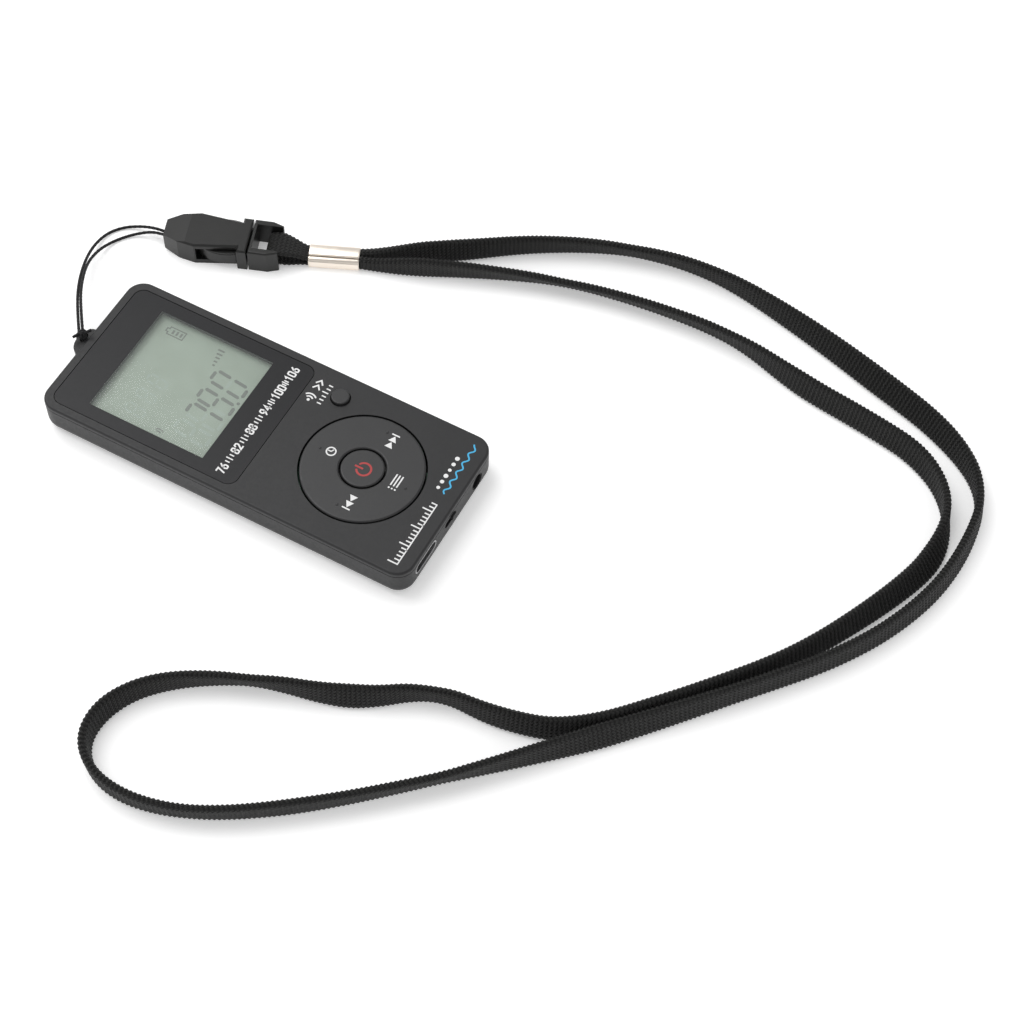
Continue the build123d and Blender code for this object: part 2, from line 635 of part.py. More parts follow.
PRONG_Z = 1.6
PRONG_HEIGHT = BUCKLE_HEIGHT - 2 * PRONG_Z
with BuildPart() as buckle_male:
    with BuildSketch(buckle_plane):
        with BuildLine():
            Polyline((MALE_FACE_X, 0), (MALE_FACE_X, 5.1), (5.9, 5.1), (8.5, 4.2), (8.5, 0))
            mirror(about=Plane.XZ)
        make_face()
    extrude(amount=BUCKLE_HEIGHT)
    fillet(buckle_male.edges().group_by(Axis.Z)[-1], 0.45)
    # strap window, then the round bar across its end
    with BuildSketch(buckle_plane):
        with Locations((6.0, 0)):
            Rectangle(7.4, 7.2)
    extrude(amount=BUCKLE_HEIGHT, mode=Mode.SUBTRACT)
    with BuildSketch(Plane(origin=buckle_plane.from_local_coords((BAR_X, -3.8, MID_Z)), x_dir=buckle_plane.x_dir,
                           z_dir=buckle_plane.y_dir)):
        Circle(BAR_RADIUS)
    extrude(amount=7.6)
    # guide tongue between the prongs
    with BuildSketch(buckle_plane.offset(PRONG_Z)):
        with Locations((-2.6, 0)):
            RectangleRounded(8.8, 2.3, 0.6)
    extrude(amount=PRONG_HEIGHT)
buckle_male.part.label = "buckle_male"


def prong(side):
    """One springy locking prong; side is 1 or -1 across the buckle."""
    with BuildPart() as piece:
        with BuildSketch(buckle_plane.offset(PRONG_Z)):
            with BuildLine():
                Polyline((-10.6, side * 3.4), (-10.6, side * 2.7), (-3.0, side * 2.1), (1.35, side * 2.0),
                         (1.35, side * 3.3), (-1.4, side * 3.3), (-1.4, side * 4.9))
                ThreePointArc((-1.4, side * 4.9), (-5.2, side * 5.35), (-10.6, side * 3.4))
            make_face()
        extrude(amount=PRONG_HEIGHT)
        fillet(piece.edges().group_by(Axis.Z)[-1], 0.25)
    return piece


buckle_prong_left = prong(1)
buckle_prong_left.part.label = "buckle_prong_left"
buckle_prong_right = prong(-1)
buckle_prong_right.part.label = "buckle_prong_right"

# ---------------------------------------------------------------- strap
# end loop: two layers round the bar, drawn together into the crimp
buckle_side = Plane(origin=buckle_plane.origin, x_dir=buckle_plane.x_dir, z_dir=-buckle_plane.y_dir)
LOOP_END_X = 15.0
with BuildPart() as strap_end_loop:
    with BuildSketch(buckle_side):
        with BuildSketch(mode=Mode.PRIVATE) as ends:
            with Locations((BAR_X, MID_Z)):
                Circle(2.0)
            with Locations((LOOP_END_X, CRIMP_HEIGHT / 2)):
                Rectangle(0.1, CRIMP_HEIGHT - 2 * CRIMP_WALL - 0.1)
        make_hull(ends.sketch.edges())
        with Locations((BAR_X, MID_Z)):
            Circle(BAR_RADIUS + 0.08, mode=Mode.SUBTRACT)
    extrude(amount=3.3, both=True)
    with BuildSketch(buckle_plane):
        with BuildLine():
            Polyline((3.5, 3.2), (3.5, -3.2), (LOOP_END_X + 0.05, -2.2), (LOOP_END_X + 0.05, 2.2), close=True)
        make_face()
    extrude(amount=BUCKLE_HEIGHT, mode=Mode.INTERSECT)
    with BuildSketch(Plane(origin=crimp_plane.from_local_coords((-0.15, 0, CRIMP_HEIGHT / 2)),
                           x_dir=crimp_plane.y_dir, z_dir=crimp_plane.x_dir)):
        RectangleRounded(CRIMP_WIDTH - 2 * CRIMP_WALL - 0.06, CRIMP_HEIGHT - 2 * CRIMP_WALL - 0.06, 0.7)
    extrude(amount=CRIMP_LENGTH + 0.15)
strap_end_loop.part.label = "strap_end_loop"

with BuildPart() as strap_crimp:
    with BuildSketch(Plane(origin=crimp_plane.from_local_coords((0, 0, CRIMP_HEIGHT / 2)),
                           x_dir=crimp_plane.y_dir, z_dir=crimp_plane.x_dir)):
        RectangleRounded(CRIMP_WIDTH, CRIMP_HEIGHT, 1.1)
        RectangleRounded(CRIMP_WIDTH - 2 * CRIMP_WALL, CRIMP_HEIGHT - 2 * CRIMP_WALL, 0.7, mode=Mode.SUBTRACT)
    extrude(amount=CRIMP_LENGTH)
strap_crimp.part.label = "strap_crimp"

# the strap stands on its edge on the table, out of the crimp, round its end and back beside itself
STRAP_ROUTE = [
    (55.4, 8.9), (59.4, 1.3), (66.8, -10.1), (79.0, -27.0), (87.9, -46.7), (91.1, -67.0), (87.2, -89.9),
    (81.4, -112.7), (74.9, -132.7), (64.4, -145.4), (49.0, -147.9), (32.3, -145.6), (14.0, -136.0),
    (-6.3, -119.8), (-29.3, -99.3), (-54.2, -74.7), (-74.4, -51.8), (-86.1, -33.3), (-89.1, -17.6),
    (-83.9, -7.1), (-73.1, -5.2), (-62.3, -12.2), (-53.0, -29.0), (-47.0, -49.5), (-36.8, -63.7),
    (-35.9, -78.3), (-30.2, -93.0), (-13.1, -109.6), (6.3, -126.1), (28.0, -137.0), (44.0, -142.4),
    (57.3, -140.1), (66.5, -130.2), (69.2, -115.8), (71.3, -97.9), (76.1, -79.0), (75.1, -58.0),
    (71.4, -36.9), (63.5, -17.0), (56.4, -2.2), (53.4, 7.9),
]
LOW_STRETCH_START = 115
LOW_STRETCH_HEIGHT = 3.1
strap_radii = corner_radii([(x, y, 0) for x, y in STRAP_ROUTE])
with BuildPart() as lanyard_strap:
    with BuildLine() as strap_route:
        FilletPolyline(*STRAP_ROUTE, radius=strap_radii)
    with BuildSketch():
        trace(strap_route.line, STRAP_THICKNESS)
    extrude(amount=STRAP_WIDTH)
    strap_volume = lanyard_strap.part.volume
    # pressed down to the height of the crimp where it comes out
    with BuildSketch(Plane(origin=crimp_plane.origin, x_dir=crimp_plane.x_dir, z_dir=-crimp_plane.y_dir)):
        with BuildLine():
            Polyline((11, CRIMP_HEIGHT - 2 * CRIMP_WALL), (26, STRAP_WIDTH), (26, 7), (11, 7), close=True)
        make_face()
    extrude(amount=15, both=True, mode=Mode.SUBTRACT)
    # and flatter where it crosses in front of the headphone socket, clear of a plug's way in
    with BuildSketch(Plane.XZ.offset(LOW_STRETCH_START)):
        with BuildLine():
            Polyline((JACK_X - 12, 7), (JACK_X - 12, STRAP_WIDTH), (JACK_X - 3, LOW_STRETCH_HEIGHT),
                     (JACK_X + 3, LOW_STRETCH_HEIGHT), (JACK_X + 12, STRAP_WIDTH), (JACK_X + 12, 7), close=True)
        make_face()
    extrude(amount=35, mode=Mode.SUBTRACT)
strap_length = strap_route.wire().length
print("strap length", round(strap_length, 1), "radii", [round(radius, 1) for radius in strap_radii])
print("strap volume", round(strap_volume, 1), "section x length",
      round(STRAP_THICKNESS * STRAP_WIDTH * strap_length, 1))
lanyard_strap.part.label = "lanyard_strap"

# ---------------------------------------------------------------- thin cord
# two strands of one loop, from the knot on the lug over the table into the buckle's nose
OUTER_STRAND = [
    (0.1, 49.3, 9.5), (6.6, 54.6, 7.7), (13.6, 59.5, 5.4), (21.0, 63.3, 3.1), (27.3, 65.3, 1.3), (32.6, 65.1, 0.42),
    (36.1, 62.6, 0.42), (37.9, 58.8, 1.1), (38.15, 54.6, 2.6), (38.1, 51.58, 3.0), (39.13, 48.76, 3.0),
]
INNER_STRAND = [
    (0.85, 48.8, 9.85), (6.9, 53.75, 8.3), (13.3, 58.4, 6.1), (20.4, 62.1, 3.9), (25.9, 63.2, 2.0), (30.2, 62.8, 0.6),
    (33.4, 61.0, 0.42), (35.8, 58.5, 0.8), (37.2, 55.0, 2.1), (37.26, 51.27, 3.0), (38.29, 48.45, 3.0),
]


def strand(points, name):
    """A round cord along straight runs joined by tangent arcs."""
    radii = corner_radii(points)
    with BuildPart() as piece:
        with BuildLine() as route:
            FilletPolyline(*points, radius=radii)
        with BuildSketch(Plane(origin=route.line @ 0, z_dir=route.line % 0)):
            Circle(CORD_RADIUS)
        sweep()
    length = route.wire().length
    print(name, "length", round(length, 1), "radii", [round(radius, 1) for radius in radii])
    print(name, "volume", round(piece.part.volume, 2), "section x length", round(pi * CORD_RADIUS**2 * length, 2))
    return piece


cord_strand_outer = strand(OUTER_STRAND, "cord_strand_outer")
cord_strand_outer.part.label = "cord_strand_outer"
cord_strand_inner = strand(INNER_STRAND, "cord_strand_inner")
cord_strand_inner.part.label = "cord_strand_inner"

# hitch: a turn through the lug and round its bar, with the knot on top
KNOT_CENTRE = (0, TOP_END_Y + 1.3, 9.6)
KNOT_RADIUS = 1.25
HITCH_OUT_Y = TOP_END_Y + LUG_REACH + 0.56
HITCH_LOW_Z = LUG_BOTTOM_Z - 0.55
HITCH_HIGH_Z = 9.2
with BuildPart() as cord_hitch:
    with BuildLine() as turn:
        FilletPolyline(
            (LUG_X + 0.6, LUG_HOLE_Y, HITCH_HIGH_Z), (LUG_X + 0.6, LUG_HOLE_Y, HITCH_LOW_Z),
            (LUG_X + 0.6, HITCH_OUT_Y, HITCH_LOW_Z), (LUG_X + 0.6, HITCH_OUT_Y, HITCH_HIGH_Z - 0.3),
            (LUG_X + 0.6, HITCH_OUT_Y - 1.0, HITCH_HIGH_Z + 0.3), radius=[0.7, 0.7, 0.5],
        )
    with BuildSketch(Plane(origin=turn.line @ 0, z_dir=turn.line % 0)):
        Circle(CORD_RADIUS)
    sweep()
    with Locations(KNOT_CENTRE):
        Sphere(KNOT_RADIUS)
cord_hitch.part.label = "cord_hitch"

# ---------------------------------------------------------------- one STEP per piece
PIECES = [
    back_shell, front_shell, lens_panel, display_window, display_gasket, display_glass, display_backlight,
    display_holder, display_pins, main_board, tuner_chip, control_chip, audio_chip, clock_crystal,
    small_components, ferrite_rod, aerial_coil, battery_pad, battery_cell, battery_plug, battery_leads,
    usb_shell, usb_tongue, headphone_jack, jack_contacts, hold_switch_body, hold_switch_knob, four_way_key,
    key_cradle, power_button, band_button, key_domes, case_screws, board_screws, buckle_female, buckle_male,
    buckle_prong_left, buckle_prong_right, strap_end_loop, strap_crimp, lanyard_strap, cord_strand_outer,
    cord_strand_inner, cord_hitch,
]
for piece in PIECES:
    export_step(piece.part, f"parts/{piece.part.label}.step")
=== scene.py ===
import json
import math

import bpy
import numpy as np
from mathutils import Euler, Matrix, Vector


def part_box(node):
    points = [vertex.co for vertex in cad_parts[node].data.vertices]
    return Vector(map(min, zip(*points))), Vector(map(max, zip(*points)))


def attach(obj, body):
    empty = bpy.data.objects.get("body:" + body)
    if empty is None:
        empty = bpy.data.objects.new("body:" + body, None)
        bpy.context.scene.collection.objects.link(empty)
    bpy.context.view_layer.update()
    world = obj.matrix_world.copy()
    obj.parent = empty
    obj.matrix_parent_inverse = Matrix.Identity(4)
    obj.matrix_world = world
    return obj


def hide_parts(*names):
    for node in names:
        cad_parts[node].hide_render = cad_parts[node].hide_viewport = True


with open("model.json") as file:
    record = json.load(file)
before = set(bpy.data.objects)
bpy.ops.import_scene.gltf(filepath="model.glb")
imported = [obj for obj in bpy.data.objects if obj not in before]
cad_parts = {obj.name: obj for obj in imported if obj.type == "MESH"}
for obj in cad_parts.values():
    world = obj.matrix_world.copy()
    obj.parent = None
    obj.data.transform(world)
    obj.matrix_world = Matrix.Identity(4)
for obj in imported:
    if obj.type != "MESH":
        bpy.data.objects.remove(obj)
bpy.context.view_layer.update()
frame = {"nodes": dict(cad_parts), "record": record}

scene = bpy.context.scene
MM = 0.001
UP = np.array([0.0, 0.0, 1.0])

# ---------------------------------------------------------------- camera
CAMERA_PLACE = (-0.21912, -0.17137, 0.40940)
CAMERA_TURN = (32.140, -1.187, -61.502)  # degrees
CAMERA_LENS = 77.28                      # mm, on a sensor 36 mm wide

camera_data = bpy.data.cameras.new("camera")
camera_data.sensor_width = 36
camera_data.lens = CAMERA_LENS
camera_data.clip_start = 0.01
camera = bpy.data.objects.new("camera", camera_data)
camera.location = CAMERA_PLACE
camera.rotation_euler = Euler([math.radians(angle) for angle in CAMERA_TURN])
scene.collection.objects.link(camera)
scene.camera = camera


# ---------------------------------------------------------------- mesh helpers
def link_mesh(name, vertices, faces, smooth=True):
    """A mesh object from plain lists, in metres."""
    mesh = bpy.data.meshes.new(name)
    mesh.from_pydata([tuple(v) for v in vertices], [], faces)
    mesh.update()
    mesh.polygons.foreach_set("use_smooth", [smooth] * len(mesh.polygons))
    piece = bpy.data.objects.new(name, mesh)
    scene.collection.objects.link(piece)
    return piece


def finish_piece(piece, body, slot, material, *replaced):
    """Gives a piece its material and its body, and hides the CAD nodes it stands for."""
    piece.data.materials.append(material)
    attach(piece, body)
    if replaced:
        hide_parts(*replaced)
    return piece


def tube_object(name, rings, around, along):
    """A closed skin over rings of points; around and along are the UV sizes in millimetres."""
    rows, columns = rings.shape[:2]
    vertices = rings.reshape(-1, 3).tolist()
    faces = []
    for row in range(rows - 1):
        start, above = row * columns, (row + 1) * columns
        for column in range(columns):
            after = (column + 1) % columns
            faces.append((start + column, start + after, above + after, above + column))
    vertices.append(rings[0].mean(axis=0).tolist())
    vertices.append(rings[-1].mean(axis=0).tolist())
    first_centre, last_centre = rows * columns, rows * columns + 1
    last = (rows - 1) * columns
    for column in range(columns):
        after = (column + 1) % columns
        faces.append((first_centre, after, column))
        faces.append((last_centre, last + column, last + after))
    piece = link_mesh(name, vertices, faces)
    layer = piece.data.uv_layers.new(name="weave")
    quads = (rows - 1) * columns
    row_index = np.repeat(np.arange(rows - 1), columns)
    column_index = np.tile(np.arange(columns), rows - 1)
    u = np.stack([column_index, column_index + 1, column_index + 1, column_index], axis=1)
    v = np.stack([row_index, row_index, row_index + 1, row_index + 1], axis=1)
    u = u * around / columns
    v = v * along / (rows - 1)
    uv = np.zeros((len(piece.data.loops), 2), np.float32)
    uv[:quads * 4, 0] = u.ravel()
    uv[:quads * 4, 1] = v.ravel()
    uv[quads * 4:quads * 4 + columns * 3, 1] = 0
    uv[quads * 4 + columns * 3:, 1] = along
    layer.data.foreach_set("uv", uv.ravel())
    return piece


def spline_points(route, resolution):
    """The points of a smooth NURBS line with the route's points as its control points."""
    data = bpy.data.curves.new("route", "CURVE")
    data.dimensions = "3D"
    data.resolution_u = resolution
    spline = data.splines.new("NURBS")
    spline.points.add(len(route) - 1)
    for point, spot in zip(spline.points, route):
        point.co = (*spot, 1)
    spline.order_u = 3
    spline.use_endpoint_u = True
    holder = bpy.data.objects.new("route", data)
    scene.collection.objects.link(holder)
    bpy.context.view_layer.update()
    settled = holder.evaluated_get(bpy.context.evaluated_depsgraph_get())
    line = bpy.data.meshes.new_from_object(settled)
    points = np.array([vertex.co for vertex in line.vertices], float).reshape(-1, 3)
    bpy.data.objects.remove(holder)
    bpy.data.meshes.remove(line)
    return points


def arc_lengths(points):
    """How far along the line each of its points lies."""
    return np.concatenate([[0], np.cumsum(np.linalg.norm(np.diff(points, axis=0), axis=1))])


def even_points(points, step):
    """The same line with its points a fixed step apart, and each one's share of the old list."""
    lengths = arc_lengths(points)
    count = max(2, int(round(lengths[-1] / step)) + 1)
    spots = np.linspace(0, lengths[-1], count)
    even = np.stack([np.interp(spots, lengths, points[:, axis]) for axis in range(3)], axis=1)
    share = np.interp(spots, lengths, np.linspace(0, 1, len(points)))
    return even, share


def unit(vectors):
    """The same directions with a length of one."""
    return vectors / np.linalg.norm(vectors, axis=-1, keepdims=True)


def ease(share):
    """A smooth start and stop between 0 and 1."""
    return share * share * (3 - 2 * share)


def soften(values, width):
    """A moving average that keeps the ends."""
    first, last = np.repeat(values[:1], width, 0), np.repeat(values[-1:], width, 0)
    padded = np.concatenate([first, values, last])
    kernel = np.ones(2 * width + 1) / (2 * width + 1)
    if values.ndim == 1:
        return np.convolve(padded, kernel, "valid")
    columns = [np.convolve(padded[:, axis], kernel, "valid") for axis in range(values.shape[1])]
    return np.stack(columns, axis=1)


# ---------------------------------------------------------------- materials
def new_material(name):
    """A material with its node tree and its shader."""
    material = bpy.data.materials.new(name)
    material.use_nodes = True
    tree = material.node_tree
    return material, tree, tree.nodes["Principled BSDF"]


def add_node(tree, kind, inputs=None, **settings):
    """A shader node with its input values and its settings."""
    node = tree.nodes.new("ShaderNode" + kind)
    for key, value in settings.items():
        setattr(node, key, value)
    for key, value in (inputs or {}).items():
        node.inputs[key].default_value = value
    return node


def noise(tree, coordinates, scale, detail=3.0):
    """Cloudy noise between 0 and 1."""
    node = add_node(tree, "TexNoise", {"Scale": scale, "Detail": detail})
    tree.links.new(coordinates, node.inputs["Vector"])
    return node.outputs["Fac"]


def remap(tree, value, low, high, from_low=0.3, from_high=0.7):
    """A value moved from one range to another; noise mostly lies between 0.3 and 0.7."""
    limits = {"From Min": from_low, "From Max": from_high, "To Min": low, "To Max": high}
    node = add_node(tree, "MapRange", limits)
    tree.links.new(value, node.inputs["Value"])
    return node.outputs["Result"]


def mix_colours(tree, factor, first, second):
    """A blend of two colours, each one a tuple or a socket."""
    node = add_node(tree, "Mix", data_type="RGBA")
    for socket, value in ((6, first), (7, second)):
        if isinstance(value, tuple):
            node.inputs[socket].default_value = (*value, 1)
        else:
            tree.links.new(value, node.inputs[socket])
    tree.links.new(factor, node.inputs[0])
    return node.outputs[2]


def bump(tree, shader, height, strength, distance):
    """Relief on the surface from a height value."""
    node = add_node(tree, "Bump", {"Strength": strength, "Distance": distance})
    tree.links.new(height, node.inputs["Height"])
    tree.links.new(node.outputs["Normal"], shader.inputs["Normal"])


def grained(name, colour, roughness, grain=0.25, relief=0.02, spread=0.12, metallic=0.0, blotch=6.0,
            specular=0.5):
    """A plastic, rubber or metal with blotchy tone, uneven gloss and a fine grain. Sizes in mm."""
    material, tree, shader = new_material(name)
    place = add_node(tree, "TexCoord").outputs["Object"]
    tone = remap(tree, noise(tree, place, 1 / (blotch * MM)), 0, 1)
    fine = noise(tree, place, 1 / (grain * MM), 2.0)
    dark = tuple(c * (1 - spread) for c in colour)
    light = tuple(min(1.0, c * (1 + spread)) for c in colour)
    tree.links.new(mix_colours(tree, tone, dark, light), shader.inputs["Base Color"])
    patch = noise(tree, place, 1 / (0.6 * MM))
    gloss = remap(tree, patch, roughness * 0.88, min(1.0, roughness * 1.12))
    tree.links.new(gloss, shader.inputs["Roughness"])
    shader.inputs["Metallic"].default_value = metallic
    shader.inputs["Specular IOR Level"].default_value = specular
    bump(tree, shader, fine, 0.6, relief * MM)
    return material


def math_node(tree, operation, first, second=None):
    """One step of shader arithmetic; the arguments are sockets or numbers."""
    node = add_node(tree, "Math", operation=operation)
    for socket, value in zip(node.inputs, (first, second)):
        if value is None:
            continue
        if isinstance(value, (int, float)):
            socket.default_value = value
        else:
            tree.links.new(value, socket)
    return node.outputs[0]


def woven(name, colour, light, roughness, course, wale, chevron):
    """Knitted fabric: V-shaped stitches in rows and columns with fine fibres, with painted shade in the
    valleys between stitches and a painted highlight on their crests.

    course and wale are the row and column pitch in mm; chevron is the V's depth in rows.
    """
    material, tree, shader = new_material(name)
    weave = add_node(tree, "UVMap", uv_map="weave").outputs["UV"]
    parts = add_node(tree, "SeparateXYZ")
    tree.links.new(weave, parts.inputs["Vector"])
    column = math_node(tree, "FRACT", math_node(tree, "DIVIDE", parts.outputs["X"], wale))
    half_column = math_node(tree, "ABSOLUTE", math_node(tree, "SUBTRACT", column, 0.5))
    off_centre = math_node(tree, "MULTIPLY", half_column, 2.0)
    row = math_node(tree, "ADD", math_node(tree, "DIVIDE", parts.outputs["Y"], course),
                    math_node(tree, "MULTIPLY", off_centre, chevron))
    crest = math_node(tree, "COSINE", math_node(tree, "MULTIPLY", row, 2 * math.pi))
    crest = remap(tree, crest, 0, 1, -1, 1)
    body = math_node(tree, "SUBTRACT", 1.0, math_node(tree, "POWER", off_centre, 3.0))
    stitch_relief_and_shade = math_node(tree, "MULTIPLY", crest, remap(tree, body, 0.3, 1.0, 0, 1))
    stretch = add_node(tree, "Mapping", {"Scale": (9.0, 5.0, 1.0)})
    tree.links.new(weave, stretch.inputs["Vector"])
    fibres = noise(tree, stretch.outputs["Vector"], 1.0, 4.0)
    place = add_node(tree, "TexCoord").outputs["Object"]
    lint = noise(tree, place, 1 / (0.45 * MM), 3.0)
    # painted shade and highlight: the colour runs from the first colour, painted shade in the valleys
    # between stitches, to the second, a painted highlight on the stitch crests
    base = mix_colours(tree, stitch_relief_and_shade, colour, light)
    dusty = tuple(c * 1.9 for c in light)
    faded = mix_colours(tree, remap(tree, lint, 0, 0.7, 0.55, 0.8), base, dusty)
    tree.links.new(faded, shader.inputs["Base Color"])
    gloss = remap(tree, fibres, roughness, min(1.0, roughness * 1.2))
    tree.links.new(gloss, shader.inputs["Roughness"])
    shader.inputs["Sheen Weight"].default_value = 0.03
    shader.inputs["Sheen Roughness"].default_value = 0.5
    shader.inputs["Specular IOR Level"].default_value = 0.3
    height = math_node(tree, "ADD", stitch_relief_and_shade, math_node(tree, "MULTIPLY", fibres, 0.35))
    bump(tree, shader, height, 1.0, 0.3 * course * MM)
    return material


def printed(name, colour, roughness=0.5):
    """Screen-printed ink, a little uneven."""
    return grained(name, colour, roughness, grain=0.15, relief=0.006, spread=0.05, blotch=1.2)


SHELL = (0.0165, 0.0165, 0.0175)
COURSE, WALE, CHEVRON = 1.0, 0.93, 0.45                 # knit of the strap: row and column pitch in mm
CORD_COURSE, CORD_WALE, CORD_CHEVRON = 0.5, 0.57, 0.5   # braid of the thin cord
looks = {
    "shell_plastic": grained("shell_plastic", SHELL, 0.46, grain=0.16, relief=0.012, spread=0.06,
                             specular=0.38),
    "lens_surround": grained("lens_surround", (0.0115, 0.0115, 0.013), 0.34, grain=2.0, relief=0.002,
                             spread=0.04, specular=0.25),
    "white_plastic": grained("white_plastic", (0.75, 0.75, 0.73), 0.45),
    "chip": grained("chip", (0.012, 0.012, 0.013), 0.4, grain=0.1, relief=0.008),
    "component": grained("component", (0.42, 0.33, 0.22), 0.5, spread=0.3, blotch=1.0),
    "steel": grained("steel", (0.55, 0.55, 0.56), 0.3, grain=0.08, relief=0.004, metallic=1.0),
    "gold_contact": grained("gold_contact", (0.75, 0.52, 0.2), 0.28, grain=0.1, relief=0.003, metallic=1.0),
    "ferrite": grained("ferrite", (0.05, 0.045, 0.045), 0.75, grain=0.2, relief=0.03),
    "foam": grained("foam", (0.03, 0.03, 0.03), 0.9, grain=0.3, relief=0.08),
    "battery_wrap": grained("battery_wrap", (0.6, 0.62, 0.64), 0.32, grain=0.9, relief=0.03, metallic=0.9),
    "lead_insulation": grained("lead_insulation", (0.45, 0.02, 0.015), 0.4),
    "key_plastic": grained("key_plastic", SHELL, 0.42, grain=0.16, relief=0.01, spread=0.06),
    "key_rubber": grained("key_rubber", (0.06, 0.06, 0.06), 0.7),
    "buckle_plastic": grained("buckle_plastic", (0.009, 0.009, 0.0085), 0.34, grain=0.4, relief=0.004,
                              spread=0.1, specular=0.4),
    # each fabric's first colour is painted shade for the stitch valleys, its second a painted highlight for
    # the stitch crests
    "strap_fabric": woven("strap_fabric", (0.001, 0.001, 0.001), (0.017, 0.017, 0.0158), 0.55,
                          COURSE, WALE, CHEVRON),
    "cord_fabric": woven("cord_fabric", (0.003, 0.003, 0.0035), (0.014, 0.0135, 0.015), 0.6,
                         CORD_COURSE, CORD_WALE, CORD_CHEVRON),
}


def clear_window():
    """Clear acrylic: mostly lets light through."""
    material, tree, shader = new_material("clear_window")
    shader.inputs["Base Color"].default_value = (0.8, 0.85, 0.82, 1)
    shader.inputs["Alpha"].default_value = 0.07
    place = add_node(tree, "TexCoord").outputs["Object"]
    smear = remap(tree, noise(tree, place, 1 / (5 * MM)), 0.05, 0.12)
    tree.links.new(smear, shader.inputs["Roughness"])
    return material


def display_face():
    """Grey-green reflective display with a soft mottle."""
    material, tree, shader = new_material("display_glass")
    place = add_node(tree, "TexCoord").outputs["Object"]
    mottle = remap(tree, noise(tree, place, 1 / (7 * MM), 2.0), 0, 1)
    base = mix_colours(tree, mottle, (0.26, 0.32, 0.258), (0.29, 0.355, 0.292))
    tree.links.new(base, shader.inputs["Base Color"])
    shader.inputs["Roughness"].default_value = 0.35
    shader.inputs["Specular IOR Level"].default_value = 0.25
    bump(tree, shader, noise(tree, place, 1 / (0.35 * MM)), 0.2, 0.002 * MM)
    return material


def circuit_board():
    """Green solder mask over darker copper tracks."""
    material, tree, shader = new_material("board")
    place = add_node(tree, "TexCoord").outputs["Object"]
    cells = add_node(tree, "TexVoronoi", {"Scale": 1 / (3 * MM)}, distance="MANHATTAN", feature="F1")
    tree.links.new(place, cells.inputs["Vector"])
    tracks = remap(tree, cells.outputs["Distance"], 0, 1, 0.45, 0.5)
    mask = mix_colours(tree, tracks, (0.01, 0.12, 0.05), (0.02, 0.2, 0.09))
    tree.links.new(mask, shader.inputs["Base Color"])
    shader.inputs["Roughness"].default_value = 0.3
    bump(tree, shader, tracks, 0.5, 0.03 * MM)
    return material


def copper_winding():
    """Enamelled wire laid turn by turn along X, painted darker between turns as painted shade and lighter on
    each turn as a painted highlight.
    """
    material, tree, shader = new_material("copper_wire")
    place = add_node(tree, "TexCoord").outputs["Object"]
    turns = add_node(tree, "TexWave", {"Scale": 1 / (0.9 * MM)}, bands_direction="X")
    tree.links.new(place, turns.inputs["Vector"])
    # painted shade between the turns and a painted highlight on their tops, following the same waves as the
    # relief
    copper = mix_colours(tree, turns.outputs["Fac"], (0.2, 0.06, 0.02), (0.62, 0.25, 0.1))
    tree.links.new(copper, shader.inputs["Base Color"])
    shader.inputs["Metallic"].default_value = 0.9
    shader.inputs["Roughness"].default_value = 0.35
    bump(tree, shader, turns.outputs["Fac"], 0.8, 0.1 * MM)
    return material


def crimp_metal():
    """Bright nickel-plated sheet, faintly warm, with a slight uneven shine."""
    material, tree, shader = new_material("crimp_metal")
    place = add_node(tree, "TexCoord").outputs["Object"]
    cloud = noise(tree, place, 1 / (2.5 * MM), 2.0)
    nickel = mix_colours(tree, cloud, (0.80, 0.72, 0.63), (0.86, 0.78, 0.70))
    tree.links.new(nickel, shader.inputs["Base Color"])
    tree.links.new(remap(tree, cloud, 0.3, 0.36), shader.inputs["Roughness"])
    shader.inputs["Metallic"].default_value = 1.0
    bump(tree, shader, cloud, 0.1, 0.002 * MM)
    return material


looks["clear_window"] = clear_window()
looks["display_glass"] = display_face()
looks["board"] = circuit_board()
looks["copper_wire"] = copper_winding()
looks["crimp_metal"] = crimp_metal()
ink_white = printed("ink_white", (0.8, 0.8, 0.8))
ink_cyan = printed("ink_cyan", (0.05, 0.42, 0.72))
ink_red = printed("ink_red", (0.42, 0.035, 0.035))
segment_dark = grained("segment_dark", (0.10, 0.12, 0.10), 0.4, grain=0.4, relief=0.001, spread=0.1)
segment_ghost = grained("segment_ghost", (0.275, 0.345, 0.29), 0.4, grain=0.4, relief=0.001,
                        spread=0.03)

slot_of = {entry["node"]: entry["material_slot"] for entry in frame["record"]["subparts"]}
for node_name, node in frame["nodes"].items():
    node.data.materials.clear()
    node.data.materials.append(looks[slot_of[node_name]])

# ---------------------------------------------------------------- lanyard strap
# part.py's route in metres, with some points moved by up to 2 mm to follow the photo more closely
STRAP_ROUTE = [
    (0.0554, 0.0089), (0.0594, 0.0013), (0.0663, -0.0104), (0.0786, -0.0272), (0.0879, -0.0467),
    (0.0911, -0.0670), (0.0872, -0.0899), (0.0814, -0.1127), (0.0750, -0.1329), (0.0646, -0.1458),
    (0.0488, -0.1477), (0.0324, -0.1453), (0.0136, -0.1364), (-0.0063, -0.1198), (-0.0293, -0.0993),
    (-0.0542, -0.0747), (-0.0744, -0.0518), (-0.0861, -0.0333), (-0.0891, -0.0176), (-0.0839, -0.0071),
    (-0.0735, -0.0057), (-0.0627, -0.0126), (-0.0530, -0.0290), (-0.0474, -0.0497), (-0.0368, -0.0638),
    (-0.0365, -0.0784), (-0.0319, -0.0935), (-0.0134, -0.1099), (0.0063, -0.1262), (0.0283, -0.1374),
    (0.0441, -0.1428), (0.0575, -0.1404), (0.0665, -0.1302), (0.0692, -0.1158), (0.0713, -0.0979),
    (0.0761, -0.0790), (0.0751, -0.0580), (0.0714, -0.0369), (0.0635, -0.0170), (0.0564, -0.0022),
    (0.0534, 0.0079),
]
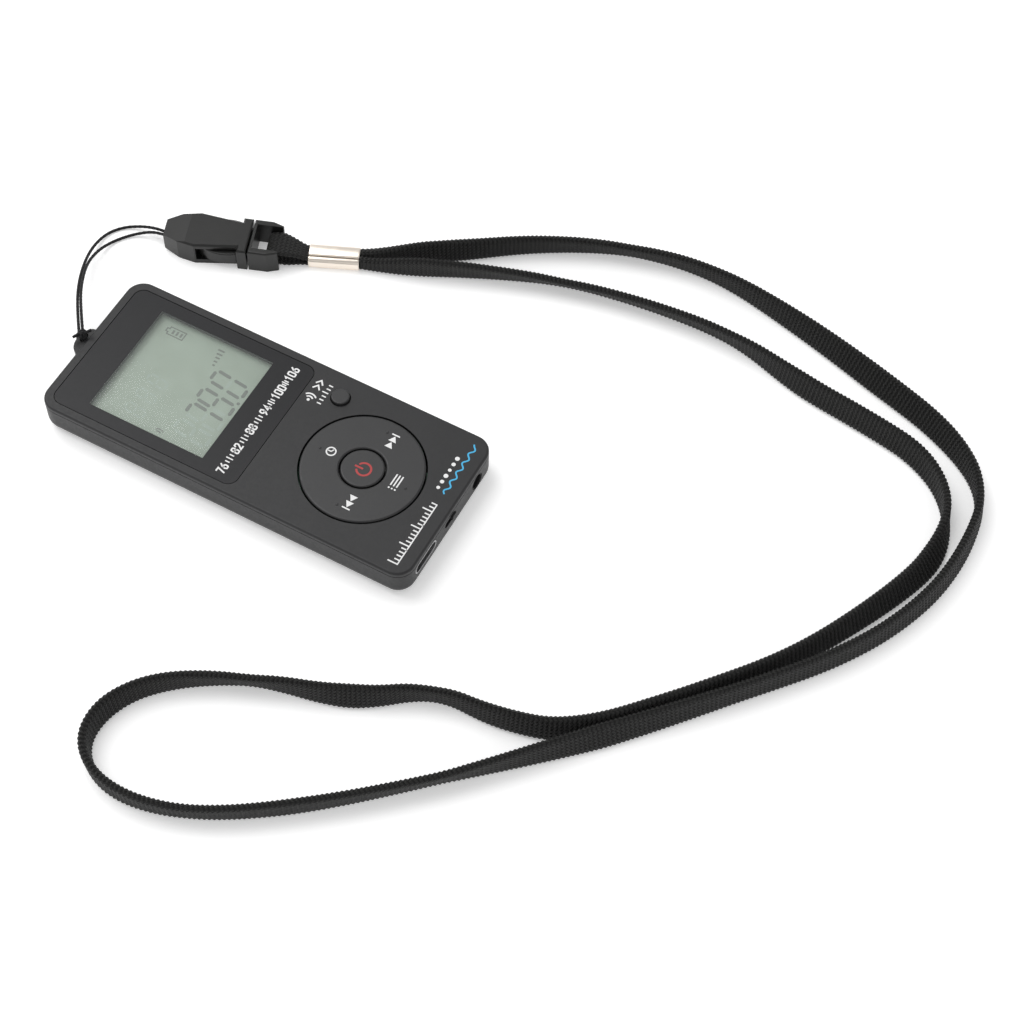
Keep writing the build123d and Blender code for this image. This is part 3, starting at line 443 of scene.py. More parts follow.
# how far the strap leans from standing on edge at each point of the route, in degrees
STRAP_LEAN = [
    -5, -2, 10, -6, -24, -11, 16, 38, 26, -4, -13, -12, -8, -6, -25, 16, 5, 10, 3, 7, 14,
    3, -18, 22, -8, 12, 20, 10, 14, 28, 42, 0, -20, -20, -18, 17, 26, 35, 14, 0, 0,
]
STRAP_WIDTH = 6.4 * MM
STRAP_THICKNESS = 1.8 * MM
STRAP_TAPER = 17 * MM        # over this length from the crimp the strap opens to its full width
RIB_LIFT = 0.26 * MM
SKIN_GAP = 0.12 * MM         # keeps the raised ribs off the floor
ROW_STEP = 0.2 * MM
RING_POINTS = 24


def stadium(points, width, thickness):
    """A flat tube's section: places across width and thickness, the outward direction, the perimeter."""
    flat = width - thickness
    half = thickness / 2
    perimeter = 2 * flat + math.pi * thickness
    spots = np.arange(points) / points * perimeter
    across, through, out_across, out_through = [], [], [], []
    for spot in spots:
        if spot < flat:
            values = (spot - flat / 2, half, 0, 1)
        elif spot < flat + math.pi * half:
            angle = math.pi / 2 - (spot - flat) / half
            values = (flat / 2 + half * math.cos(angle), half * math.sin(angle),
                      math.cos(angle), math.sin(angle))
        elif spot < 2 * flat + math.pi * half:
            values = (flat / 2 - (spot - flat - math.pi * half), -half, 0, -1)
        else:
            angle = -math.pi / 2 - (spot - 2 * flat - math.pi * half) / half
            values = (-flat / 2 + half * math.cos(angle), half * math.sin(angle),
                      math.cos(angle), math.sin(angle))
        across.append(values[0])
        through.append(values[1])
        out_across.append(values[2])
        out_through.append(values[3])
    return [np.array(values) for values in (across, through, out_across, out_through)], perimeter


def ribbed(columns, along_mm, height):
    """Courses of the knit across the strap: the lift of every point of the skin, in metres."""
    swell = 0.85 + 0.15 * np.cos(4 * math.pi * np.arange(columns) / columns)
    courses = 0.5 + 0.5 * np.cos(2 * math.pi * (along_mm / COURSE + CHEVRON / 2))
    return height * (courses[:, None] * swell[None, :] - 0.6)


def flat_skin(path, widths, thicknesses, lift, tall, flat):
    """The strap's section at each point of a path: shares of its width and thickness, ribs lifted."""
    across, through, out_across, out_through = section
    return (path[:, None, :]
            + (across[None, :] * widths[:, None] + out_across * lift)[:, :, None] * tall[:, None, :]
            + (through[None, :] * thicknesses[:, None] + out_through * lift)[:, :, None] * flat[:, None, :])


section, strap_perimeter = stadium(RING_POINTS, STRAP_WIDTH, STRAP_THICKNESS)
strap_line = spline_points([(x, y, STRAP_WIDTH / 2) for x, y in STRAP_ROUTE], 48)
strap_path, strap_share = even_points(strap_line, ROW_STEP)
strap_along = arc_lengths(strap_path)

# the spline has one span between the middles of neighbouring route points
spans = len(STRAP_ROUTE) - 2
lean_spots = np.concatenate([[0], np.arange(spans) + 0.5, [spans]]) / spans
lean = np.radians(soften(np.interp(strap_share, lean_spots, STRAP_LEAN), 14))

end_distance = np.minimum(strap_along, strap_along[-1] - strap_along)
opened = ease(np.clip(end_distance / STRAP_TAPER, 0, 1))
width_share = 0.5 + 0.5 * opened
thickness_share = 1.12 - 0.12 * opened
strap_path[:, 2] = ((STRAP_WIDTH * width_share - STRAP_THICKNESS) / 2 * np.abs(np.cos(lean))
                    + STRAP_THICKNESS * thickness_share / 2 + SKIN_GAP)
strap_forward = unit(soften(np.gradient(strap_path * [1, 1, 0], axis=0), 4))
strap_side = np.cross(UP, strap_forward)
strap_tall = np.cos(lean)[:, None] * UP + np.sin(lean)[:, None] * strap_side
strap_flat = np.cos(lean)[:, None] * strap_side - np.sin(lean)[:, None] * UP
strap_rings = flat_skin(strap_path, width_share, thickness_share,
                        ribbed(RING_POINTS, strap_along / MM, RIB_LIFT), strap_tall, strap_flat)
strap_rings[:, :, 2] = np.maximum(strap_rings[:, :, 2], 0.02 * MM)
strap = tube_object("lanyard_strap_woven", strap_rings, strap_perimeter / MM, strap_along[-1] / MM)
finish_piece(strap, "lanyard_end", "strap_fabric", looks["strap_fabric"], "lanyard_strap")

# ---------------------------------------------------------------- thin cord
# part.py's routes of the two strands between the lug and the buckle, in metres
OUTER_STRAND = [
    (0.0001, 0.0493, 0.0095), (0.0066, 0.0546, 0.0077), (0.0136, 0.0595, 0.0054),
    (0.0210, 0.0633, 0.0031), (0.0273, 0.0653, 0.0013), (0.0326, 0.0651, 0.00042),
    (0.0361, 0.0626, 0.00042), (0.0379, 0.0588, 0.0011), (0.03815, 0.0546, 0.0026),
    (0.0381, 0.05158, 0.0030), (0.03913, 0.04876, 0.0030),
]
INNER_STRAND = [
    (0.00085, 0.0488, 0.00985), (0.0069, 0.05375, 0.0083), (0.0133, 0.0584, 0.0061),
    (0.0204, 0.0621, 0.0039), (0.0259, 0.0632, 0.0020), (0.0302, 0.0628, 0.0006),
    (0.0334, 0.0610, 0.00042), (0.0358, 0.0585, 0.0008), (0.0372, 0.0550, 0.0021),
    (0.03726, 0.05127, 0.0030), (0.03829, 0.04845, 0.0030),
]
CORD_RADIUS = 0.36 * MM
CORD_POINTS = 16
CORD_STEP = 0.12 * MM
YARN_TURN = 1.3 * MM         # length of cord in which the pattern of crossing yarns repeats


def round_frames(path):
    """Two directions across a line at each of its points, carried along it without twist."""
    forward = unit(np.gradient(path, axis=0))
    side = np.zeros_like(path)
    start = np.cross(forward[0], UP)
    if np.linalg.norm(start) < 0.1:
        start = np.cross(forward[0], [1.0, 0, 0])
    side[0] = unit(start)
    for row in range(1, len(path)):
        carried = side[row - 1] - forward[row] * np.dot(side[row - 1], forward[row])
        side[row] = carried / np.linalg.norm(carried)
    return side, np.cross(forward, side)


def braided_cord(name, line, radius):
    """A round braided cord: fine crossing yarns raised on its skin."""
    path, _ = even_points(line, CORD_STEP)
    along = arc_lengths(path)
    side, other = round_frames(path)
    angle = np.arange(CORD_POINTS) / CORD_POINTS * 2 * math.pi
    twist = 2 * math.pi * along[:, None] / YARN_TURN
    yarns = (0.5 + 0.25 * np.cos(4 * angle[None, :] + twist)
             + 0.25 * np.cos(4 * angle[None, :] - twist))
    reach = radius * (0.9 + 0.13 * yarns)
    rings = (path[:, None, :] + (reach * np.cos(angle))[:, :, None] * side[:, None, :]
             + (reach * np.sin(angle))[:, :, None] * other[:, None, :])
    return tube_object(name, rings, 2 * math.pi * radius / MM, along[-1] / MM), path


for name, route in (("cord_strand_outer", OUTER_STRAND), ("cord_strand_inner", INNER_STRAND)):
    piece, path = braided_cord(name + "_braid", spline_points(route, 40), CORD_RADIUS)
    finish_piece(piece, "radio_body", "cord_fabric", looks["cord_fabric"], name)

# ---------------------------------------------------------------- knot on the lug
knot_low, knot_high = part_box("cord_hitch")
KNOT = np.array([(knot_low.x + knot_high.x) / 2, 0.0483, 0.0096])
WRAP_RADIUS = 0.62 * MM


def curl(centre, direction, radius, turns, rise, start=0.0, points=40):
    """A small helix round a direction, for the wraps of a knot."""
    axis = unit(np.array(direction, float))
    first = unit(np.cross(axis, [0.3, 0.2, 0.9]))
    second = np.cross(axis, first)
    angle = start + np.linspace(0, turns * 2 * math.pi, points)
    along = np.linspace(-rise / 2, rise / 2, points)
    return (centre + np.outer(along, axis) + radius * np.outer(np.cos(angle), first)
            + radius * np.outer(np.sin(angle), second))


def joined_skins(name, skins):
    """Several closed skins as one mesh with one UV layer."""
    first = skins[0]
    with bpy.context.temp_override(active_object=first, object=first, selected_objects=skins,
                                   selected_editable_objects=skins):
        bpy.ops.object.join()
    first.name = name
    return first


# a turn through the lug and round its edge, two crossed wraps and two short cut ends
HITCH_LINE = [
    (0.0, 0.04805, 0.0092), (0.0, 0.04805, 0.0066), (0.0, 0.0483, 0.0050), (0.0, 0.0493, 0.00475),
    (0.0, 0.0500, 0.0054), (0.0, 0.05005, 0.0072), (0.0, 0.0498, 0.0087), (0.0, 0.0490, 0.0094),
]
TAIL_LINES = [
    [(0.0002, 0.0484, 0.0098), (-0.0012, 0.0489, 0.0102), (-0.0021, 0.0494, 0.0100)],
    [(0.0, 0.0482, 0.0098), (0.0004, 0.0472, 0.0104), (0.0013, 0.0466, 0.0107)],
]
wrap_one = curl(KNOT, (0.8, 0.6, -0.1), WRAP_RADIUS, 2.1, 1.3 * MM)
wrap_two = curl(KNOT, (-0.6, 0.75, 0.5), WRAP_RADIUS - 0.02 * MM, 1.5, 0.9 * MM, 1.0)
knot_skins = [braided_cord("hitch_turn", spline_points(HITCH_LINE, 12), CORD_RADIUS)[0],
              braided_cord("wrap_one", wrap_one, CORD_RADIUS)[0],
              braided_cord("wrap_two", wrap_two, CORD_RADIUS)[0]]
for order, line in enumerate(TAIL_LINES):
    tail = braided_cord(f"tail_{order}", spline_points(line, 12), CORD_RADIUS * 0.95)[0]
    knot_skins.append(tail)
knot = joined_skins("cord_hitch_knot", knot_skins)
finish_piece(knot, "radio_body", "cord_fabric", looks["cord_fabric"], "cord_hitch")

# ---------------------------------------------------------------- strap ends round the buckle's bar
BUCKLE_PLACE = np.array([0.0443, 0.0334, 0.0])
BUCKLE_ALONG = unit(np.array([0.345, -0.939, 0.0]))
BUCKLE_ACROSS = np.cross(UP, BUCKLE_ALONG)
CRIMP_PLACE = np.array([0.0495, 0.01925, 0.0])
CRIMP_ALONG = unit(np.array([0.41, -0.912, 0.0]))
BAR_AT = 7.0 * MM            # the male half's bar, from BUCKLE_PLACE along the buckle
BAR_HEIGHT = 3.2 * MM
LOOP_TURN = 1.32 * MM        # radius of the turn round the bar
LOOP_LIFT = 0.24 * MM
CRIMPED_WIDTH, LOOP_WIDTH = 4.5 * MM, 7.0 * MM
FAN_LENGTH = 7.2 * MM        # over this length from the crimp the loop opens to its full width


def end_loop_line():
    """From the crimp over the bar and back under it, as the strap's own middle line."""
    bar = BUCKLE_PLACE + BUCKLE_ALONG * BAR_AT
    inside = CRIMP_PLACE + CRIMP_ALONG * 1.5 * MM
    mouth = CRIMP_PLACE - CRIMP_ALONG * 0.4 * MM
    run = mouth - bar
    points = [inside + UP * 2.35 * MM, mouth + UP * 2.45 * MM]
    points.append(bar + run * 0.62 + UP * 3.9 * MM)
    points.append(bar + run * 0.24 + UP * 4.7 * MM)
    for degrees in range(75, 286, 30):
        angle = math.radians(degrees)
        points.append(bar + BUCKLE_ALONG * LOOP_TURN * math.cos(angle)
                      + UP * (BAR_HEIGHT + LOOP_TURN * math.sin(angle)))
    points.append(bar + run * 0.35 + UP * 1.15 * MM)
    points.append(bar + run * 0.7 + UP * 1.1 * MM)
    points += [mouth + UP * 1.0 * MM, inside + UP * 1.0 * MM]
    return spline_points([tuple(point) for point in points], 16)


loop_path, _ = even_points(end_loop_line(), ROW_STEP)
loop_along = arc_lengths(loop_path)
loop_forward = unit(np.gradient(loop_path, axis=0))
spread = ease(np.clip((loop_path - CRIMP_PLACE) @ -CRIMP_ALONG / FAN_LENGTH, 0, 1))
loop_width = (CRIMPED_WIDTH + (LOOP_WIDTH - CRIMPED_WIDTH) * spread) / STRAP_WIDTH
loop_thin = 0.6 + 0.04 * spread
loop_across = unit(spread[:, None] * BUCKLE_ACROSS + (1 - spread)[:, None] * np.cross(UP, CRIMP_ALONG))
loop_normal = unit(np.cross(loop_forward, loop_across))
loop_rings = flat_skin(loop_path, loop_width, loop_thin,
                       ribbed(RING_POINTS, loop_along / MM, LOOP_LIFT), loop_across, loop_normal)
loop_rings[:, :, 2] = np.maximum(loop_rings[:, :, 2], 0.03 * MM)
end_loop = tube_object("strap_end_loop_woven", loop_rings, strap_perimeter / MM, loop_along[-1] / MM)
finish_piece(end_loop, "lanyard_end", "strap_fabric", looks["strap_fabric"], "strap_end_loop")

# ---------------------------------------------------------------- crimp
CRIMP_LENGTH = 12.0 * MM
CRIMP_WIDTH = 5.4 * MM
CRIMP_HEIGHT = 3.4 * MM
CRIMP_BEND = 1.15 * MM
SHEET = 0.42 * MM
SEAM_AT = -1.15 * MM
SEAM_HALF = SHEET / 2 + 0.08 * MM    # from the seam's middle to the middle of the sheet's turned-in edge


def crimp_outline():
    """The sheet's middle line seen along the strap: one turn that starts and ends at the seam on top."""
    width, height = (CRIMP_WIDTH - SHEET) / 2, (CRIMP_HEIGHT - SHEET) / 2
    bend = CRIMP_BEND - SHEET / 2
    corners = [(-width, height, 90), (-width, -height, 180), (width, -height, 270), (width, height, 0)]
    edge = [(0.0, height - 0.34 * MM), (0.03 * MM, height - 0.12 * MM), (0.22 * MM, height)]
    line = [(SEAM_AT - SEAM_HALF - x, y) for x, y in edge]
    for x, y, start in corners:
        centre = (x + math.copysign(bend, -x), y + math.copysign(bend, -y))
        for step in range(7):
            angle = math.radians(start + 15 * step)
            line.append((centre[0] + bend * math.cos(angle), centre[1] + bend * math.sin(angle)))
    line += [(SEAM_AT + SEAM_HALF + x, y) for x, y in reversed(edge)]
    return np.array(line)


def crimp_piece():
    """Bent sheet metal with a lengthwise seam and slightly rolled ends."""
    line = crimp_outline()
    tangent = unit(np.gradient(line, axis=0))
    normal = np.stack([tangent[:, 1], -tangent[:, 0]], axis=1)
    loop = np.concatenate([line + normal * SHEET / 2, (line - normal * SHEET / 2)[::-1]])
    across = np.cross(UP, CRIMP_ALONG)
    rolled = [(0.0, 0.955), (0.12 * MM, 0.985), (0.35 * MM, 1.0)]
    stations = (rolled + [(CRIMP_LENGTH / 2, 1.0)]
                + [(CRIMP_LENGTH - along, share) for along, share in reversed(rolled)])
    rings = []
    for along, share in stations:
        place = CRIMP_PLACE + CRIMP_ALONG * along + UP * CRIMP_HEIGHT / 2
        rings.append(place + np.outer(loop[:, 0] * share, across) + np.outer(loop[:, 1] * share, UP))
    count = len(line)
    size = len(loop)
    vertices = np.concatenate(rings).tolist()
    faces = []
    for row in range(len(rings) - 1):
        for column in range(size):
            after = (column + 1) % size
            below, above = row * size, (row + 1) * size
            faces.append((below + column, below + after, above + after, above + column))
    for row, turned in ((0, False), (len(rings) - 1, True)):
        for column in range(count - 1):
            first, last = row * size, row * size + size - 1
            quad = [first + column, last - column, last - column - 1, first + column + 1]
            faces.append(tuple(reversed(quad)) if turned else tuple(quad))
    return link_mesh("strap_crimp_sheet", vertices, faces)


crimp = crimp_piece()
finish_piece(crimp, "lanyard_end", "crimp_metal", looks["crimp_metal"], "strap_crimp")

# ---------------------------------------------------------------- flat marks: display segments and print
lens_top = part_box("lens_panel")[1].z
face_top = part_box("front_shell")[1].z
PAD_DOT_HEIGHT = 0.2 * MM    # the four raised dots are the top of the round key's box
pad_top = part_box("four_way_key")[1].z - PAD_DOT_HEIGHT
glass_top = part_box("display_glass")[1].z
power_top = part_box("power_button")[1].z
PRINT_THICKNESS = 0.02 * MM
LAYER_STEP = 0.002 * MM      # outlines that cross end at slightly different heights
LAYERS = 7


def pen_line_faces(outline, height, top, first):
    """Corners and faces of a pen line from its left and right edges; closed if its ends meet."""
    left, right = outline
    closed = left[0] == left[-1]
    if closed:
        left, right = left[:-1], right[:-1]
    count = len(left)
    vertices, faces = [], []
    for side, z in ((left, height), (right, height), (right, top), (left, top)):
        vertices += [(x * MM, y * MM, z) for x, y in side]
    corners = [first + count * index for index in range(4)]
    for index in range(count if closed else count - 1):
        after = (index + 1) % count
        for here, there in zip(corners, corners[1:] + corners[:1]):
            faces.append((here + index, there + index, there + after, here + after))
    if not closed:
        faces.append(tuple(reversed(corners)))
        faces.append(tuple(corner + count - 1 for corner in corners))
    return vertices, faces


def prism_faces(outline, height, top, first):
    """Corners and faces of a flat shape with straight sides."""
    area = sum(a[0] * b[1] - b[0] * a[1] for a, b in zip(outline, outline[1:] + outline[:1]))
    if area < 0:
        outline = outline[::-1]
    count = len(outline)
    vertices = [(x * MM, y * MM, height) for x, y in outline]
    vertices += [(x * MM, y * MM, top) for x, y in outline]
    faces = [tuple(range(first + count, first + 2 * count)), tuple(range(first + count - 1, first - 1, -1))]
    for index in range(count):
        after = (index + 1) % count
        faces.append((first + index, first + after, first + count + after, first + count + index))
    return vertices, faces


def flat_marks(name, outlines, height, thickness, material, body, slot):
    """Thin raised print, in mm. An outline is a list of corners, or a pair of edges for a pen line."""
    vertices, faces = [], []
    for order, outline in enumerate(outlines):
        top = height + thickness + LAYER_STEP * (order % LAYERS)
        shape = pen_line_faces if isinstance(outline, tuple) else prism_faces
        more_vertices, more_faces = shape(outline, height, top, len(vertices))
        vertices += more_vertices
        faces += more_faces
    piece = link_mesh(name, vertices, faces, False)
    return finish_piece(piece, body, slot, material)


def stroke(points, width, extend=0.35):
    """A pen line of even width through the points, as its left and right edges with mitred corners."""
    points = [tuple(point) for point in points]
    closed = math.dist(points[0], points[-1]) < 1e-6
    if closed:
        points[-1] = points[0]
    spots = np.array(points, float)
    runs = unit(np.diff(spots, axis=0))
    if not closed:
        spots[0] -= runs[0] * width * extend
        spots[-1] += runs[-1] * width * extend
    left, right = [], []
    for index, spot in enumerate(spots):
        before = runs[index - 1] if index > 0 or closed else runs[0]
        after = runs[index] if index < len(runs) else (runs[0] if closed else runs[-1])
        normal = np.array([-(before + after)[1], (before + after)[0]])
        size = np.linalg.norm(normal)
        normal = normal / size if size > 1e-6 else np.array([-after[1], after[0]])
        reach = width / 2 / max(0.45, float(normal @ np.array([-after[1], after[0]])))
        left.append(tuple(spot + normal * reach))
        right.append(tuple(spot - normal * reach))
    if closed:
        left[-1], right[-1] = left[0], right[0]
    return [(left, right)]


def disc(x, y, radius, sides=14):
    """The corners of a round dot."""
    return [(x + radius * math.cos(2 * math.pi * k / sides), y + radius * math.sin(2 * math.pi * k / sides))
            for k in range(sides)]


def arc_points(x, y, radius, start, end, steps):
    """Points along an arc between two angles in degrees."""
    angles = [math.radians(start + (end - start) * k / steps) for k in range(steps + 1)]
    return [(x + radius * math.cos(a), y + radius * math.sin(a)) for a in angles]


# strokes of plain digits on a grid one wide and two high, for the numbers of the scale
DIGIT_STROKES = {
    "0": [[(0.15, 0), (0.85, 0), (1, 0.3), (1, 1.7), (0.85, 2), (0.15, 2), (0, 1.7), (0, 0.3), (0.15, 0)]],
    "1": [[(0.2, 1.6), (0.6, 2), (0.6, 0)]],
    "2": [[(0, 1.6), (0.2, 2), (0.8, 2), (1, 1.65), (1, 1.3), (0, 0), (1, 0)]],
    "4": [[(0.75, 0), (0.75, 2), (0, 0.6), (1, 0.6)]],
    "6": [[(0.8, 2), (0.2, 1.3), (0, 0.6), (0.2, 0), (0.8, 0), (1, 0.3), (1, 0.8), (0.8, 1.1),
           (0.1, 1)]],
    "7": [[(0, 2), (1, 2), (0.35, 0)]],
    "8": [[(0.2, 1.05), (0, 1.4), (0.1, 1.9), (0.3, 2), (0.7, 2), (0.9, 1.9), (1, 1.4), (0.8, 1.05),
           (0.2, 1.05), (0, 0.7), (0, 0.2), (0.2, 0), (0.8, 0), (1, 0.2), (1, 0.7), (0.8, 1.05)]],
    "9": [[(0.2, 0), (0.8, 0.7), (1, 1.4), (0.8, 2), (0.2, 2), (0, 1.7), (0, 1.2), (0.2, 0.9),
           (0.9, 1)]],
}


SCALE_NUMBERS = ["76", "82", "88", "94", "100", "106"]
SCALE_LEFT, SCALE_RIGHT, SCALE_Y = -15.9, 15.8, 0.85
NUMERAL_WIDTH, NUMERAL_HEIGHT, NUMERAL_PEN, NUMERAL_GAP = 0.85, 1.8, 0.36, 0.5


def number(text, x, y):
    """Plain numerals that start at x, y."""
    outlines = []
    for character in text:
        for line in DIGIT_STROKES[character]:
            spots = [(x + px * NUMERAL_WIDTH, y + py * NUMERAL_HEIGHT / 2) for px, py in line]
            outlines += stroke(spots, NUMERAL_PEN)
        x += NUMERAL_WIDTH + NUMERAL_GAP
    return outlines


def number_width(text):
    return len(text) * NUMERAL_WIDTH + (len(text) - 1) * NUMERAL_GAP


def tuning_scale():
    """A tuning scale in megahertz along the lens: plain numbers with three ticks between them."""
    last = len(SCALE_NUMBERS) - 1
    starts = [SCALE_LEFT + index / last * (SCALE_RIGHT - SCALE_LEFT - number_width(text))
              for index, text in enumerate(SCALE_NUMBERS)]
    middle_y = SCALE_Y + NUMERAL_HEIGHT / 2
    outlines = []
    for index, text in enumerate(SCALE_NUMBERS):
        outlines += number(text, starts[index], SCALE_Y)
        if index == last:
            continue
        end = starts[index] + number_width(text)
        free = starts[index + 1] - end
        for tick, tall in ((1, 0.9), (2, 1.5), (3, 0.9)):
            x = end + free * tick / 4
            outlines += stroke([(x, middle_y - tall / 2), (x, middle_y + tall / 2)], 0.3)
    return outlines


def band_key_marks():
    """By the small key: a dot with two radio waves, a double arrow and a row of ticks."""
    wave_x, middle_y = 9.9, -5.0
    outlines = [disc(wave_x, middle_y, 0.36)]
    for radius in (0.95, 1.7):
        outlines += stroke(arc_points(wave_x, middle_y, radius, -45, 45, 8), 0.36)
    for x in (13.3, 14.75):
        outlines += stroke([(x, middle_y - 0.8), (x + 1.0, middle_y), (x, middle_y + 0.8)], 0.36)
    for index in range(6):
        x = 10.2 + 1.05 * index
        outlines += stroke([(x, -8.0), (x, -6.7 if index == 3 else -7.2)], 0.32)
    return outlines


def pad_marks():
    """On the round key: a clock, next and previous arrows, and a list."""
    clock_x, clock_y = 0.4, -16.65
    outlines = stroke(arc_points(clock_x, clock_y, 1.05, 0, 360, 24), 0.32)
    outlines += stroke([(clock_x, clock_y + 0.7), (clock_x, clock_y), (clock_x + 0.55, clock_y - 0.3)], 0.28)
    arrow_y = -26.95
    for side, centre in ((1, 9.1), (-1, -8.8)):
        for shift in (-0.95, 0.75):
            x = centre + side * shift
            outlines.append([(x - side * 0.75, arrow_y - 0.95), (x + side * 0.8, arrow_y),
                             (x - side * 0.75, arrow_y + 0.95)])
        bar_x = centre + side * 1.85
        outlines += stroke([(bar_x, arrow_y - 0.85), (bar_x, arrow_y + 0.85)], 0.34)
    for row in range(3):
        y = -32.3 - 0.75 * row
        outlines.append(disc(-1.5, y, 0.22))
        outlines += stroke([(-0.7, y), (2.2, y)], 0.32)
    return outlines


def foot_marks():
    """At the foot of the face: a ruler of eighteen ticks and a row of dots."""
    ruler_x, ruler_y, ticks = -17.3, -43.6, 18
    outlines = []
    for index in range(ticks):
        x = ruler_x + index
        outlines += stroke([(x, ruler_y), (x, ruler_y + (2.3 if index % 5 == 0 else 1.2))], 0.32)
    outlines += stroke([(ruler_x, ruler_y), (ruler_x + ticks - 1, ruler_y)], 0.28)
    for index in range(6):
        outlines.append(disc(3.8 + 1.7 * index, -41.6, 0.42 + 0.06 * (index % 3)))
    return outlines


def wave_mark():
    """A small wavy line beside the ruler."""
    step, count = 0.25, 58
    points = [(3.0 + step * k, -43.5 + 0.45 * math.sin(2.3 * step * k)) for k in range(count)]
    return stroke(points, 0.36)


def power_mark():
    """A ring broken at the top with a bar in the gap."""
    x, y = -0.15, -25.25
    outlines = stroke(arc_points(x, y, 1.62, 120, 420, 26), 0.46)
    return outlines + stroke([(x, y + 0.35), (x, y + 2.05)], 0.46)


flat_marks("lens_scale_print", tuning_scale(), lens_top, PRINT_THICKNESS, ink_white, "radio_body",
           "lens_surround")
flat_marks("pad_symbols_print", pad_marks(), pad_top, PRINT_THICKNESS, ink_white, "pad", "key_plastic")
flat_marks("face_print", band_key_marks() + foot_marks(), face_top, PRINT_THICKNESS, ink_white,
           "radio_body", "shell_plastic")
flat_marks("face_wave_print", wave_mark(), face_top, PRINT_THICKNESS, ink_cyan, "radio_body",
           "shell_plastic")
flat_marks("power_symbol_print", power_mark(), power_top, PRINT_THICKNESS, ink_red, "power_key",
           "key_plastic")

# ---------------------------------------------------------------- what the display shows
SEGMENTS = {"0": "abcdef", "7": "abc", "9": "abcdfg"}
READING = ((None, -11.3), ("7", -6.5), ("9", -1.9), ("0", 3.6))      # digit and its left edge in mm
DIGIT_WIDTH, DIGIT_HEIGHT, DIGIT_PEN, DIGIT_SLANT = 3.3, 8.9, 0.82, 0.11
READING_Y = 8.85
SMALL_WIDTH, SMALL_HEIGHT, SMALL_PEN, SMALL_Y = 2.1, 5.0, 0.5, 25.2


def segment_bars(width, height, pen):
    """The seven bars of a digit as pairs of ends, lettered a to g, with a gap at every meeting."""
    gap = pen * 0.5
    middle = height / 2
    return {
        "a": ((gap, height), (width - gap, height)), "b": ((width, height - gap), (width, middle + gap)),
        "c": ((width, middle - gap), (width, gap)), "d": ((gap, 0), (width - gap, 0)),
        "e": ((0, middle - gap), (0, gap)), "f": ((0, height - gap), (0, middle + gap)),
        "g": ((gap, middle), (width - gap, middle)),
    }


def bar_outline(start, end, pen, slant, x, y):
    """A bar with pointed ends, leaning as the whole digit does."""
    (x0, y0), (x1, y1) = start, end
    length = math.hypot(x1 - x0, y1 - y0)
    ux, uy = (x1 - x0) / length, (y1 - y0) / length
    nx, ny = -uy * pen / 2, ux * pen / 2
    tip = pen * 0.42
    corners = [(x0, y0), (x0 + ux * tip + nx, y0 + uy * tip + ny),
               (x1 - ux * tip + nx, y1 - uy * tip + ny), (x1, y1),
               (x1 - ux * tip - nx, y1 - uy * tip - ny), (x0 + ux * tip - nx, y0 + uy * tip - ny)]
    return [(x + px + slant * py, y + py) for px, py in corners]


def display_labels():
    """Small lit signs: an aerial with two waves, rising level bars and a battery."""
    outlines = stroke([(-14.4, 19.0), (-14.4, 20.8)], 0.3)
    outlines += stroke([(-15.1, 20.9), (-14.4, 20.0), (-13.7, 20.9)], 0.26)
    for radius in (0.7, 1.35):
        outlines += stroke(arc_points(-13.2, 20.0, radius, -42, 42, 6), 0.26)
    for index in range(5):
        x = 8.6 + index * 1.05
        outlines += stroke([(x, 18.9), (x, 19.5 + 0.28 * index)], 0.42, 0)
    battery_case = [(10.9, 29.2), (13.0, 29.2), (13.0, 33.3), (12.4, 33.3), (12.4, 33.9), (11.5, 33.9),
                    (11.5, 33.3), (10.9, 33.3), (10.9, 29.2)]
    outlines += stroke(battery_case, 0.26)
    for index in range(3):
        y = 30.0 + index * 1.05
        outlines += stroke([(11.4, y), (12.5, y)], 0.5, 0)
    return outlines


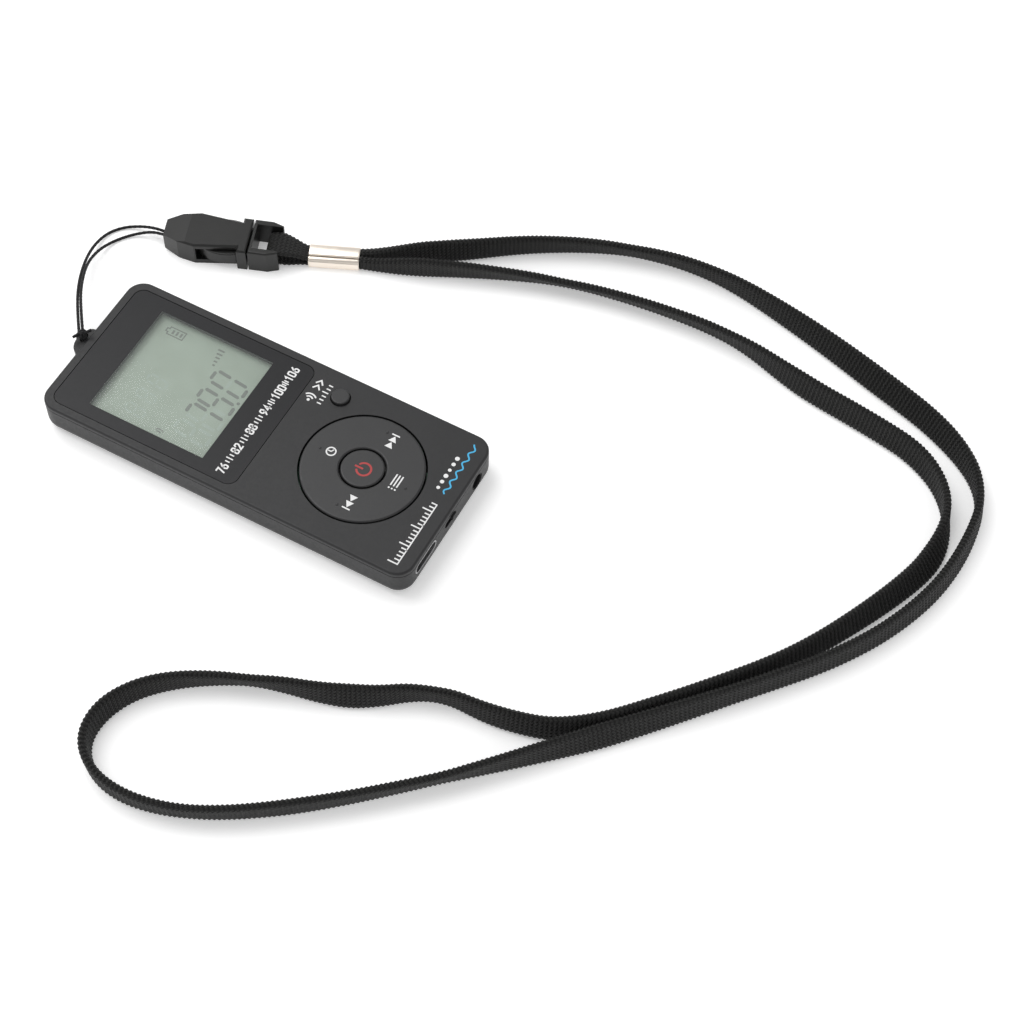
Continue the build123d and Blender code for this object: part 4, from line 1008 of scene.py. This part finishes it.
lit, unlit = [], []
for digit, x in READING:
    for letter, (start, end) in segment_bars(DIGIT_WIDTH, DIGIT_HEIGHT, DIGIT_PEN).items():
        shown = digit is not None and letter in SEGMENTS[digit]
        bar = bar_outline(start, end, DIGIT_PEN, DIGIT_SLANT, x, READING_Y)
        (lit if shown else unlit).append(bar)
lit.append(disc(2.35, 8.7, 0.4))
lit += display_labels()
for index in range(3):
    for start, end in segment_bars(SMALL_WIDTH, SMALL_HEIGHT, SMALL_PEN).values():
        unlit.append(bar_outline(start, end, SMALL_PEN, DIGIT_SLANT, -11.5 + index * 4.4, SMALL_Y))
flat_marks("display_segments_on", lit, glass_top, 0.03 * MM, segment_dark, "radio_body", "display_glass")
flat_marks("display_segments_off", unlit, glass_top, 0.015 * MM, segment_ghost, "radio_body",
           "display_glass")

# ---------------------------------------------------------------- floor and light
# the floor glows a little, which keeps the shadows as pale as in a product photo
floor_material, _, floor_shader = new_material("floor")
floor_shader.inputs["Base Color"].default_value = (0.93, 0.93, 0.93, 1)
floor_shader.inputs["Roughness"].default_value = 0.9
floor_shader.inputs["Emission Color"].default_value = (1, 1, 1, 1)
floor_shader.inputs["Emission Strength"].default_value = 0.3
FLOOR_REACH = 6.0
floor_corners = [(x * FLOOR_REACH, y * FLOOR_REACH, 0) for x, y in ((-1, -1), (1, -1), (1, 1), (-1, 1))]
floor = link_mesh("floor", floor_corners, [(0, 1, 2, 3)], False)
floor.data.materials.append(floor_material)

world = bpy.data.worlds.new("studio")
scene.world = world
world.use_nodes = True
sky = world.node_tree
background = sky.nodes["Background"]
background.inputs["Color"].default_value = (1, 1, 1, 1)
# a tent of soft light, brighter round the sides than overhead
direction = add_node(sky, "SeparateXYZ")
sky.links.new(add_node(sky, "TexCoord").outputs["Generated"], direction.inputs["Vector"])
sky.links.new(remap(sky, direction.outputs["Z"], 1.15, 0.5, 0.1, 0.75), background.inputs["Strength"])
scene.view_settings.view_transform = "Standard"


def soft_light(name, place, target, size, power):
    """A square soft box aimed at a point."""
    data = bpy.data.lights.new(name, "AREA")
    data.shape = "SQUARE"
    data.size = size
    data.energy = power
    lamp = bpy.data.objects.new(name, data)
    lamp.location = place
    lamp.rotation_euler = (Vector(target) - Vector(place)).to_track_quat("-Z", "Y").to_euler()
    scene.collection.objects.link(lamp)


soft_light("key_light", (0.1, 0.5, 1.0), (0, -0.03, 0), 0.8, 7)
